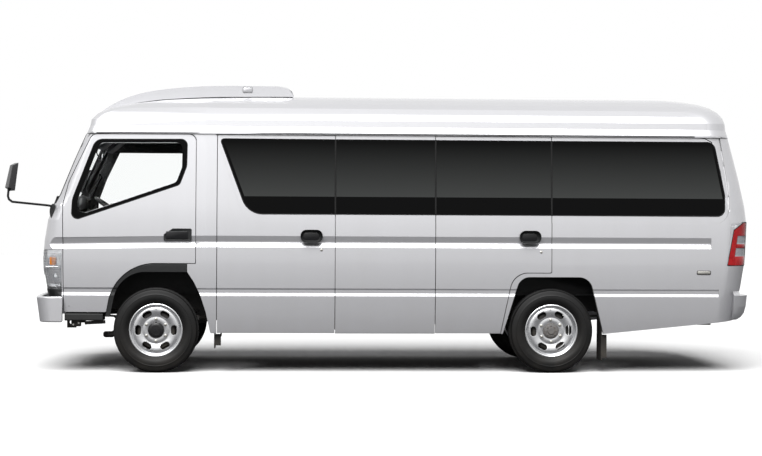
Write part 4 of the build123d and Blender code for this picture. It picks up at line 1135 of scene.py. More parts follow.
@dataclass(frozen=True)
class PullHandle:
    """A recessed pull handle with its paddle and key lock.

    Attributes:
        node: The door that it sits on.
        x: Its ends.
        z: Its foot and head.
        radius: Corner radius.
        lock: Place of the key lock.
        slant: Run of the slanted upper front corner.
    """

    node: str
    x: tuple[float, float]
    z: tuple[float, float]
    radius: float
    lock: tuple[float, float]
    slant: float = 0.0

    def build(self) -> None:
        """Makes the surround, the paddle and the lock."""
        side = Side.LEFT if middle(self.node).y < 0 else Side.RIGHT
        centre_x, centre_z = sum(self.x) / 2, sum(self.z) / 2
        face = flank(self.node, centre_x, centre_z, side)
        ends = [flank(self.node, x, self.z[0] - 0.02, side) for x in self.x]
        taper = math.atan2(ends[1] - ends[0], self.x[1] - self.x[0])
        pivot = (centre_x, face, centre_z)
        out = side.sign
        ys = sorted((face - out * 0.004, face + out * 0.0075))
        surround = slab(
            f"{self.node}_handle_surround", (self.x[0], ys[0], self.z[0]), (self.x[1], ys[1], self.z[1]),
            self.radius, Axis.Y, 0.0,
        )
        if self.slant:
            with editing(surround):
                bpy.ops.mesh.select_all(action="SELECT")
                bpy.ops.mesh.bisect(
                    plane_co=(self.x[0] + self.slant, face, self.z[1]), plane_no=(-0.55, 0.0, 0.83),
                    use_fill=True, clear_outer=True,
                )
        sunk(surround, facing(Axis.Y.value * out, 0.9), 0.010, 0.0055)
        smooth(round_off(surround, 0.0022, 2), 40.0)
        finished(spun(surround, "Z", taper, pivot), body_of(self.node), "black_plastic", TRIM)
        ys = sorted((face - out * 0.002, face + out * 0.0095))
        low_x, high_x = self.x[0] + 0.020, self.x[1] - 0.030
        paddle = slab(
            f"{self.node}_handle_paddle", (low_x, ys[0], self.z[0] + 0.018),
            (high_x, ys[1], self.z[1] - 0.024), self.radius * 0.5, Axis.Y, 0.0025,
        )
        finished(spun(paddle, "Z", taper, pivot), body_of(self.node), "black_plastic", SATIN)
        lock_face = flank(self.node, *self.lock, side)
        barrel = lathe(
            f"{self.node}_key_lock", (self.lock[0], lock_face, self.lock[1]),
            [(0.0, out * 0.004), (0.008, out * 0.004), (0.0115, out * 0.0025), (0.0125, -out * 0.002)], 32,
        )
        slot = box(
            f"{self.node}_key_slot", (self.lock[0] - 0.001, lock_face - 0.005, self.lock[1] - 0.005),
            (self.lock[0] + 0.001, lock_face + 0.005, self.lock[1] + 0.005),
        )
        smooth(barrel)
        round_off(slot, 0.0004, 1)
        dress(barrel, ZINC)
        dress(slot, DIAL)
        finished(joined(f"{self.node}_key_lock", [barrel, slot]), body_of(self.node), "wheel_chrome")


# ---------------------------------------------------------------- wheels


@dataclass(frozen=True)
class RoadWheel:
    """A holed steel wheel with its tyre; sizes run outwards from the wheel's middle plane.

    Attributes:
        holes: Hand holes, and nuts.
        hole_circle: Radius of the hand holes' circle.
        nut_circle: Radius of the nuts' circle.
        lugs: Tread lugs round each shoulder.
        rim: Radius and outward place of each point of the rim.
        disc: The same for the disc.
        tyre: The same for the tyre's outer half, from bead to crown.
    """

    holes: int = 6
    hole_circle: float = 0.150
    nut_circle: float = 0.0925
    lugs: int = 90
    rim: tuple[tuple[float, float], ...] = (
        (0.197, 0.052), (0.204, 0.062), (0.2075, 0.074), (0.2125, 0.0785), (0.2195, 0.080),
        (0.2245, 0.0775), (0.2245, 0.073), (0.219, 0.068), (0.204, 0.064), (0.184, 0.020), (0.184, -0.020),
        (0.204, -0.064), (0.219, -0.068), (0.224, -0.074), (0.222, -0.080), (0.213, -0.079),
        (0.198, -0.066), (0.176, -0.026), (0.176, 0.020), (0.188, 0.044), (0.197, 0.052),
    )
    disc: tuple[tuple[float, float], ...] = (
        (0.055, 0.044), (0.072, 0.048), (0.102, 0.049), (0.109, 0.047), (0.116, 0.047), (0.130, 0.052),
        (0.150, 0.057), (0.170, 0.058), (0.186, 0.056), (0.197, 0.052), (0.1985, 0.046), (0.192, 0.044),
        (0.172, 0.049), (0.150, 0.048), (0.128, 0.043), (0.112, 0.039), (0.070, 0.039), (0.055, 0.036),
        (0.055, 0.044),
    )
    tyre: tuple[tuple[float, float], ...] = (
        (0.207, 0.060), (0.214, 0.0685), (0.2265, 0.0760), (0.2330, 0.0825), (0.2360, 0.0838),
        (0.2400, 0.0860), (0.2440, 0.0905), (0.2520, 0.0950), (0.2600, 0.0985), (0.2700, 0.1005),
        (0.2800, 0.1012), (0.2900, 0.1008), (0.2960, 0.1000), (0.2985, 0.1012), (0.3010, 0.1010),
        (0.3030, 0.0992), (0.3130, 0.0968), (0.3210, 0.0945), (0.3300, 0.0925), (0.3390, 0.0895),
        (0.3450, 0.0850), (0.3505, 0.0760), (0.3535, 0.0660), (0.3548, 0.0600), (0.3480, 0.0580),
        (0.3480, 0.0520), (0.3562, 0.0500), (0.3572, 0.0230), (0.3490, 0.0210), (0.3490, 0.0150),
        (0.3578, 0.0130), (0.3580, 0.0000),
    )

    LUG_DEPTH = 0.0065
    CUT_DEPTH = 0.006

    def carcass(self) -> Piece:
        """The tyre, with its grooves and its shoulder lugs."""
        profile = [
            *self.tyre, *((radius, -place) for radius, place in reversed(self.tyre[:-1])), self.tyre[0],
        ]
        piece = lathe("tyre", ORIGIN, profile, 2 * self.lugs)

        def lug(centre: Vector, _: Vector) -> bool:
            """Tells whether a face of the shoulder lies between two lugs."""
            turn = math.atan2(centre.z, centre.x) / math.tau * self.lugs % 1.0
            return 0.058 < abs(centre.y) < 0.0900 and centre.xz.length > 0.339 and turn < 0.5

        sunk(piece, lug, 0.0012, self.LUG_DEPTH)

        def block(centre: Vector, _: Vector) -> bool:
            """Tells whether a face of the crown lies in a cross cut."""
            turn = (math.atan2(centre.z, centre.x) / math.tau * self.lugs + 0.5) % 2.0
            return 0.022 < abs(centre.y) < 0.051 and centre.xz.length > 0.355 and turn < 0.5

        pick(piece, block)
        with editing(piece):
            depth = {"value": -self.CUT_DEPTH}
            bpy.ops.mesh.extrude_region_shrink_fatten(TRANSFORM_OT_shrink_fatten=depth)
        return dress(smooth(piece, 30.0), TYRE)

    def dish(self) -> Piece:
        """The disc with its oval hand holes, each rim rolled."""
        disc = lathe("wheel_disc", ORIGIN, self.disc, 144)
        cutters = []
        for number in range(self.holes):
            turn = math.tau * number / self.holes
            hole = slab("hand_hole", (-0.0245, -0.03, -0.0420), (0.0245, 0.12, 0.0420), 0.0240, Axis.Y, 0.0)
            hole.location = (self.hole_circle, 0.0, 0.0)
            settle(hole)
            cutters.append(turned(hole, "hand_hole", "Y", turn, (0.0, 0.0, 0.0)))
            bpy.data.objects.remove(hole)
        cutter = joined("hand_holes", cutters)
        modify(disc, "BOOLEAN", object=cutter, operation="DIFFERENCE", solver="EXACT")
        bpy.data.objects.remove(cutter)
        modify(disc, "BEVEL", width=0.0022, segments=2, angle_limit=math.radians(50.0))
        return dress(smooth(disc, 40.0), WHEEL)

    def nuts(self) -> list[Piece]:
        """The wheel nuts on their studs."""
        turn = math.pi / self.holes
        place = (self.nut_circle * math.cos(turn), 0.0, self.nut_circle * math.sin(turn))
        nut = rod("wheel_nut", (place[0], 0.043, place[2]), (place[0], 0.060, place[2]), 0.0145, 6)
        washer = rod(
            "nut_washer", (place[0], 0.042, place[2]), (place[0], 0.0475, place[2]), 0.018, 24, 0.0165,
        )
        stud = rod(
            "wheel_stud", (place[0], 0.058, place[2]), (place[0], 0.066, place[2]), 0.0075, 16, 0.0065,
        )
        one = joined("wheel_nut", [nut, washer, stud])
        dress(smooth(round_off(one, 0.0011, 2, 30.0), 35.0), ZINC)
        return ring_of(one, self.holes, "Y", (0.0, 0.0, 0.0))

    def hub(self, driven: bool) -> list[Piece]:
        """The middle of the wheel: a plain black cap, or a driven hub's flange with its bolts."""
        if not driven:
            cap = lathe(
                "hub_cap", ORIGIN,
                [
                    (0.0, 0.0765), (0.030, 0.0760), (0.052, 0.0735), (0.062, 0.0690), (0.0670, 0.0610),
                    (0.0680, 0.036),
                ],
                64,
            )
            ridge = lathe(
                "hub_cap_ridge", ORIGIN,
                [(0.033, 0.0755), (0.035, 0.0772), (0.040, 0.0768), (0.042, 0.0745)], 64,
            )
            return [dress(smooth(joined("hub_cap", [cap, ridge]), 40.0), SATIN)]
        flange = lathe(
            "hub_flange", ORIGIN,
            [
                (0.0, 0.0790), (0.026, 0.0790), (0.030, 0.0760), (0.031, 0.0710), (0.052, 0.0700),
                (0.056, 0.0680), (0.057, 0.0600), (0.064, 0.0590), (0.0665, 0.0560), (0.067, 0.036),
            ],
            64,
        )
        dress(smooth(flange, 35.0), IRON)
        bolt = rod("flange_bolt", (0.042, 0.069, 0.0), (0.042, 0.0765, 0.0), 0.0062, 6)
        dress(round_off(bolt, 0.0007, 1), IRON)
        return [flange, *ring_of(bolt, 8, "Y", (0.0, 0.0, 0.0))]

    def drum(self) -> Piece:
        """The brake drum seen through the hand holes."""
        shape = lathe(
            "brake_drum", ORIGIN,
            [
                (0.040, 0.026), (0.110, 0.026), (0.150, 0.020), (0.160, 0.008), (0.162, -0.052),
                (0.170, -0.054), (0.170, -0.060), (0.150, -0.060), (0.148, 0.000), (0.040, 0.012),
                (0.040, 0.026),
            ],
            96,
        )
        return dress(smooth(shape, 35.0), CHASSIS)

    def build(self) -> None:
        """Makes one wheel of each kind, then sets all four in their places."""
        tyre = self.carcass()
        rim = dress(smooth(lathe("wheel_rim", ORIGIN, self.rim, 144), 40.0), WHEEL)
        disc, drum = self.dish(), self.drum()
        valve = dress(
            tube("tyre_valve", [(0.0, 0.048, 0.186), (0.0, 0.064, 0.183), (0.0, 0.084, 0.180)], 0.0035, 10),
            ZINC,
        )
        nuts = self.nuts()
        steel = joined("wheel", [rim, disc, drum, valve, *nuts])
        for end, axle_x, driven in (("front", FRONT_AXLE_X, False), ("rear", REAR_AXLE_X, True)):
            hub = joined("wheel_hub", self.hub(driven))
            for side in Side:
                name = f"{end}_{side.word}"
                turn = math.radians(-2.0 if driven else 0.0)
                parts = [
                    (steel, "wheel", "wheel_chrome"), (hub, "wheel_hub", "cast_iron"),
                    (tyre, "tyre", "tyre_rubber"),
                ]
                for source, label, slot in parts:
                    piece = copied(source, f"{name}_{label}_piece")
                    piece = turned(piece, piece.name, "Y", turn, (0.0, 0.0, 0.0))
                    bpy.data.objects.remove(bpy.data.objects[f"{name}_{label}_piece"])
                    piece.name = f"{name}_{label}_piece"
                    if side is Side.LEFT:
                        other = flipped(piece, piece.name)
                        bpy.data.objects.remove(piece)
                        piece = other
                    piece.location = (axle_x, side.value * WHEEL_Y, TYRE_RADIUS)
                    settle(piece)
                    nodes = (f"{name}_{label}",) if label in ("wheel", "tyre") else ()
                    finished(piece, f"{name}_wheel", slot, stands_for=nodes)
            bpy.data.objects.remove(hub)
        bpy.data.objects.remove(steel)
        bpy.data.objects.remove(tyre)


# ---------------------------------------------------------------- lamps, mirrors and small outside pieces


@dataclass(frozen=True)
class Headlamps:
    """Clear lenses over reflectors, with an amber indicator in the upper part.

    Attributes:
        shelf: Height of the line between the indicator and the main lamp.
        lens: Thickness of the lens.
        depth: How far the reflector lies behind the lens.
    """

    shelf: float = 0.888
    lens: float = 0.003
    depth: float = 0.030

    @staticmethod
    def outward(centre: Vector, normal: Vector) -> bool:
        """Tells whether a face of the lamp block is seen from outside."""
        return normal.x < -0.3 or normal.y * math.copysign(1.0, centre.y) > 0.35

    def sheet(self, name: str, inset: float) -> Piece:
        """The lamp's outer faces alone, moved inwards."""
        piece = skin("headlamps", name, 40.0)
        pick(piece, self.outward)
        with editing(piece):
            bpy.ops.mesh.select_all(action="INVERT")
            bpy.ops.mesh.delete(type="FACE")
            bpy.ops.mesh.select_all(action="SELECT")
            if inset:
                bpy.ops.transform.shrink_fatten(value=-inset)
        return piece

    def build(self) -> None:
        """Makes both lamps with what lies behind their lenses."""
        lens = self.sheet("headlamp_lens", 0.0)
        modify(lens, "SOLIDIFY", thickness=self.lens, offset=-1.0)
        finished(smooth(lens, 40.0), ROOT, "lamp_lens", LENS_CLEAR, stands_for=("headlamps",))
        back = self.sheet("headlamp_reflector", self.depth)
        modify(back, "SOLIDIFY", thickness=0.002, offset=-1.0)
        finished(smooth(back, 40.0), ROOT, "wheel_chrome", REFLECTOR)
        low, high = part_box("headlamps")
        for side in Side:
            name, sign = side.word, side.sign
            outer = abs(low.y)
            ys = sorted((sign * (outer - 0.20), sign * (outer - 0.012)))
            shelf = slab(
                f"headlamp_shelf_{name}", (low.x + 0.045, ys[0], self.shelf - 0.004),
                (high.x - 0.01, ys[1], self.shelf + 0.004), 0.02, Axis.Z,
            )
            finished(shelf, ROOT, "wheel_chrome", REFLECTOR)
            face = touch("headlamps", (-4.0, sign * (outer - 0.035), 0.94), (1.0, 0.0, 0.0)).x
            ys = sorted((sign * (outer - 0.130), sign * (outer - 0.017)))
            amber = slab(
                f"indicator_{name}", (face + 0.012, ys[0], 0.905), (face + 0.060, ys[1], 0.972), 0.012,
                Axis.Y, 0.003,
            )
            finished(amber, ROOT, "lamp_lens", LENS_AMBER)
            ys = sorted((sign * (outer - 0.10), sign * (outer - 0.015)))
            clear = slab(
                f"side_lamp_{name}", (face + 0.070, ys[0], 0.900), (face + 0.112, ys[1], 1.006), 0.010,
                Axis.Y, 0.003,
            )
            finished(clear, ROOT, "lamp_lens", LENS_WHITE)
            self.bowl(name, sign, face)

    def bowl(self, name: str, sign: float, face: float) -> None:
        """The main lamp's round reflector with its bulb, facing forward."""
        bowl = lathe(
            f"main_reflector_{name}", ORIGIN,
            [
                (0.012, -0.050), (0.040, -0.040), (0.062, -0.018), (0.074, 0.006), (0.078, 0.006),
                (0.066, -0.020), (0.043, -0.044), (0.012, -0.054), (0.012, -0.050),
            ],
            48,
        )
        bulb = lathe(
            f"bulb_{name}", ORIGIN,
            [
                (0.0, 0.004), (0.006, 0.002), (0.009, -0.006), (0.009, -0.030), (0.012, -0.034),
                (0.012, -0.052),
            ],
            24,
        )
        dress(smooth(bowl, 40.0), REFLECTOR)
        dress(smooth(bulb, 40.0), LENS_WHITE)
        lamp = joined(f"main_lamp_{name}", [bowl, bulb])
        finished(
            placed(lamp, (face + 0.072, sign * 0.775, 0.800), (0.0, 0.0, math.radians(90.0 + sign * 12.0))),
            ROOT, "wheel_chrome",
        )


@dataclass(frozen=True)
class TailLamps:
    """Red lamps with two pale windows each.

    Attributes:
        windows: Foot and head of each pale window.
        front_foot: Place of the windows' front edge at the lamp's foot.
        front_head: The same at the lamp's head.
        outline: Points and inward ways of the lines that part the lens from the painted corner.
    """

    windows: tuple[tuple[float, float], ...] = ((1.000, 1.071), (1.105, 1.176))
    front_foot: tuple[float, float] = (4.906, 0.921)
    front_head: tuple[float, float] = (4.956, 1.231)
    outline: tuple[tuple[Point, Point], ...] = (
        ((2.928, 0.0, 0.921), (0.982, 0.0, -0.190)),
        ((2.995, 0.0, 1.231), (0.557, 0.0, -0.831)),
    )

    def build(self) -> None:
        """Dresses both lamps."""
        lamps = skin("tail_lamps", "tail_lamp_lenses", 40.0)
        for low, high in self.windows:
            slice_through(lamps, (0.0, 0.0, low), (0.0, 0.0, 1.0))
            slice_through(lamps, (0.0, 0.0, high), (0.0, 0.0, 1.0))
        foot = Vector((front(self.front_foot[0]), 0.0, self.front_foot[1]))
        head = Vector((front(self.front_head[0]), 0.0, self.front_head[1]))
        run = (head - foot).normalized()
        way = Vector((run.z, 0.0, -run.x))
        slice_through(lamps, foot, way)
        for line in self.outline:
            slice_through(lamps, *line)

        def pale(centre: Vector, normal: Vector) -> bool:
            """Tells whether a face belongs to a pale window."""
            outside = normal.x > 0.2 or normal.y * math.copysign(1.0, centre.y) > 0.3
            inside = any(low < centre.z < high for low, high in self.windows)
            return outside and inside and (centre - foot).dot(way) > 0.0

        def painted(centre: Vector, _: Vector) -> bool:
            """Tells whether a face lies ahead of the lens."""
            return any((centre - Vector(point)).dot(Vector(inward)) < 0.0 for point, inward in self.outline)

        dress(lamps, LENS_RED, LENS_SMOKE, PAINT)
        give(lamps, 1, pale)
        give(lamps, 2, painted)
        pick(lamps, pale)
        with editing(lamps):
            bpy.ops.mesh.inset(thickness=0.0035, depth=-0.0022)
        finished(smooth(lamps, 40.0), ROOT, "red_lens", stands_for=("tail_lamps",))
        for side in Side:

            def shown(centre: Vector, normal: Vector, sign: float = side.sign) -> bool:
                """Tells whether a face is on the outside of this flank."""
                return centre.y * sign > 0 and (normal.x > 0.25 or normal.y * sign > 0.35)

            def seen(centre: Vector, normal: Vector, outside: FaceTest = shown) -> bool:
                """Tells whether a face is the outside of this flank's lamp."""
                return outside(centre, normal) and not painted(centre, normal)

            def filled(centre: Vector, normal: Vector, outside: FaceTest = shown) -> bool:
                """Tells whether a face is this flank's painted corner."""
                return outside(centre, normal) and painted(centre, normal)

            bare = skin("tail_lamps", f"tail_lamp_outline_{side.word}")
            for line in self.outline:
                slice_through(bare, *line)
            bead = lip(bare, f"tail_lamp_bead_{side.word}", seen, 0.0030)
            fitted(bead, RUBBER)
            finished(lip(bare, f"tail_corner_joint_{side.word}", filled, 0.0022), ROOT, "body_paint", PAINT)
            bpy.data.objects.remove(bare)


@dataclass(frozen=True)
class Mirror:
    """An outside mirror on its bent arm.

    Attributes:
        side: The flank that it stands on.
        place: How far the head stands from the front axle.
        arm: The arm's line from the head to the nose, on the left.
        size: Depth, width and height of the head.
        swing: How far the head is turned to the driver, in degrees.
        lean: How far its glass looks down, in degrees.
        radius: Radius of the arm.
        middle: Y and height of the head's middle, on the left.
        foot: Middle of the bracket on the nose, from the front axle.
        foot_scale: How far the bracket is stretched along each axis.
    """

    side: Side
    place: float
    arm: tuple[Point, ...]
    size: Point = (0.072, 0.165, 0.236)
    swing: float = 25.0
    lean: float = 4.0
    radius: float = 0.0095
    middle: tuple[float, float] = (-1.030, 1.640)
    foot: Point = (-0.868, -0.812, 1.352)
    foot_scale: Point = (0.92, 0.92, 2.1)

    def head(self) -> Piece:
        """The head: a teardrop housing with its silvered glass."""
        depth, width, height = (value / 2 for value in self.size)
        shell = box("mirror_head", (-depth, -width, -height), (depth, width, height))
        for direction, scale, value in (
            (Axis.Z.value, (0.62, 0.66, 1.0), (0.016, 0.0, 0.0)),
            (-Axis.Z.value, (0.72, 0.86, 1.0), (-0.006, 0.0, 0.0)),
            (-Axis.X.value, (1.0, 0.74, 0.80), (0.0, 0.0, 0.0)),
        ):
            pick(shell, facing(direction))
            with editing(shell):
                bpy.ops.transform.resize(value=scale)
                bpy.ops.transform.translate(value=value)
        sunk(shell, facing(Axis.X.value), 0.012, 0.006)
        dress(shell, SATIN, MIRROR)
        give(
            shell, 1,
            lambda centre, normal: normal.x > 0.7 and abs(centre.z) < 0.03 and abs(centre.y) < 0.03,
        )
        modify(shell, "BEVEL", width=0.012, segments=3, angle_limit=math.radians(40.0))
        modify(shell, "SUBSURF", levels=2, render_levels=2)
        turn = (0.0, math.radians(self.lean), math.radians(self.swing))
        return smooth(placed(shell, (front(self.place), *self.middle), turn), 50.0)

    def build(self) -> None:
        """Makes the head, the arm with its collars, and the bracket on the nose."""
        points = [(front(x), y, z) for x, y, z in self.arm]
        arm = dress(tube("mirror_arm", points, self.radius), SATIN)
        middle = (front(self.foot[0]), *self.foot[1:])
        foot = lathe(
            "mirror_foot", middle,
            [(0.0, 0.030), (0.020, 0.029), (0.029, 0.020), (0.032, 0.0), (0.030, -0.022), (0.0, -0.026)],
            40,
        )
        foot.scale = self.foot_scale
        foot.location = [place * (1 - scale) for place, scale in zip(middle, self.foot_scale)]
        dress(smooth(settle(foot), 50.0), TRIM)
        last, first = points[-1], points[0]
        collar = dress(rod("mirror_collar", last, (last[0] + 0.004, -0.815, 1.366), 0.017, 24, 0.021), TRIM)
        grip = dress(rod("mirror_clamp", first, (first[0], first[1], 1.520), 0.0155, 24, 0.012), TRIM)
        mirror = joined(f"mirror_{self.side.word}", [self.head(), arm, foot, collar, grip])
        if self.side is Side.RIGHT:
            left = mirror
            mirror = flipped(left, left.name)
            bpy.data.objects.remove(left)
        finished(mirror, ROOT, "black_plastic", stands_for=("mirrors",) if self.side is Side.LEFT else ())


KERB_MIRROR = Mirror(
    Side.LEFT, -1.186,
    (
        (-1.205, -1.030, 1.560), (-1.212, -1.034, 1.478), (-1.204, -1.034, 1.452), (-1.178, -1.028, 1.431),
        (-0.910, -0.846, 1.404), (-0.874, -0.822, 1.398),
    ),
)
DRIVER_MIRROR = Mirror(
    Side.RIGHT, -0.790,
    (
        (-0.792, -1.030, 1.560), (-0.792, -1.034, 1.478), (-0.796, -1.030, 1.452), (-0.806, -1.010, 1.438),
        (-0.860, -0.850, 1.404), (-0.872, -0.822, 1.398),
    ),
)


@dataclass(frozen=True)
class DripRail:
    """The dark gutter over the side windows, the cab door and the screen pillar.

    Attributes:
        line: Places and heights along the flank, from the nose.
        radius: Radius of the rubber strip.
    """

    line: tuple[tuple[float, float], ...] = (
        (-0.640, 1.900), (-0.560, 2.010), (-0.500, 2.018), (-0.300, 2.020), (0.300, 2.020), (1.200, 2.020),
        (2.400, 2.020), (3.600, 2.020), (4.560, 2.020), (4.660, 2.008), (4.720, 1.975), (4.745, 1.930),
    )
    radius: float = 0.0040

    def build(self) -> None:
        """Lays a strip along both flanks."""
        nodes = ("left_side_panel", "front_panel", "cab_door_left")
        points = []
        for x, z in self.line:
            hits = [touch(node, (front(x), -3.0, z), (0.0, 1.0, 0.0)) for node in nodes]
            places = [hit.y for hit in hits if hit]
            if places:
                points.append((front(x), min(places) + 0.0005, z))
        strip = dress(tube("drip_rail_left", points, self.radius, 8), RUBBER)
        other = flipped(strip, "drip_rail_right")
        fitted(strip)
        fitted(other)


def patch(node: str, name: str, low: Point, high: Point, outward: Point, lift: float) -> Piece:
    """A thin plate that follows a CAD node's face inside a box.

    Args:
        node: The node that it lies on.
        name: The plate's name.
        low: Lowest corner of the box.
        high: Highest corner of the box.
        outward: The way that the face looks.
        lift: Thickness of the plate.

    Returns:
        The new piece.
    """
    piece = skin(node, name)
    for corner in (low, high):
        for axis in Axis:
            slice_through(piece, corner, axis.value)

    def outside(centre: Vector, normal: Vector) -> bool:
        """Tells whether a face lies outside the box or looks away."""
        within = all(small < value < large for small, value, large in zip(low, centre, high))
        return not within or normal.dot(Vector(outward)) < 0.4

    pick(piece, outside)
    with editing(piece):
        bpy.ops.mesh.delete(type="FACE")
    modify(piece, "SOLIDIFY", thickness=lift, offset=1.0)
    return smooth(piece, 30.0)


def along(node: str, starts: Sequence[Point], towards: Point, lift: float) -> list[Vector]:
    """Points on a CAD node's face, each lifted a little off it."""
    hits = [touch(node, start, towards) for start in starts]
    return [hit - Vector(towards) * lift for hit in hits if hit]


def flat_bar(name: str, start: Vector, end: Vector, width: float, thick: float) -> Piece:
    """A flat bar between two points of one upright plane, its width across the vehicle."""
    deselect()
    run = end - start
    lean = -math.atan2(run.z, run.x)
    bpy.ops.mesh.primitive_cube_add(size=1.0, location=(start + end) / 2, rotation=(0.0, lean, 0.0))
    bpy.context.object.scale = (run.length * 1.01, width, thick)
    return named(name)


# ---------------------------------------------------------------- roof unit, nose and tail


@dataclass(frozen=True)
class RoofUnit:
    """The air conditioner's cover on the roof.

    Attributes:
        half: Half its width.
        ends: Where its gasket starts and ends along the roof.
        hatches: Middle place, height, length and depth of each small hatch on its flanks.
    """

    half: float = 0.430
    ends: tuple[float, float] = (-0.545, 1.140)
    hatches: tuple[tuple[float, float, float, float], ...] = ((0.752, 2.419, 0.078, 0.042),)

    def build(self) -> None:
        """Makes the cover, its gasket and its hatches."""
        cover = skin("roof_air_unit", "roof_unit_cover", 24.0)
        finished(cover, ROOT, "body_paint", PAINT, stands_for=("roof_air_unit",))
        first, last = (front(x) for x in self.ends)
        steps = [first + (last - first) * number / 24 for number in range(25)]
        across = [self.half * (number / 6 - 1.0) for number in range(13)]
        outline = [(x, -self.half, 3.0) for x in steps] + [(last, y, 3.0) for y in across]
        outline += [(x, self.half, 3.0) for x in reversed(steps)] + [(first, -y, 3.0) for y in across]
        line = along("roof_panel", outline, (0.0, 0.0, -1.0), 0.002)
        fitted(tube("roof_unit_gasket", [*line, line[0]], 0.0055, 8), RUBBER)
        hatches = []
        for x, z, length, depth in self.hatches:
            for side in Side:
                for grow, proud, finish in ((0.003, 0.0006, RUBBER), (0.0, 0.0018, PAINT)):
                    inner, outer = side.value * (self.half - 0.004), side.value * (self.half + proud)
                    low = (front(x) - length / 2 - grow, min(inner, outer), z - depth / 2 - grow)
                    high = (front(x) + length / 2 + grow, max(inner, outer), z + depth / 2 + grow)
                    hatches.append(dress(slab("roof_unit_hatch", low, high, 0.010, Axis.Y, 0.0004), finish))
        finished(joined("roof_unit_hatches", hatches), ROOT, "body_paint")


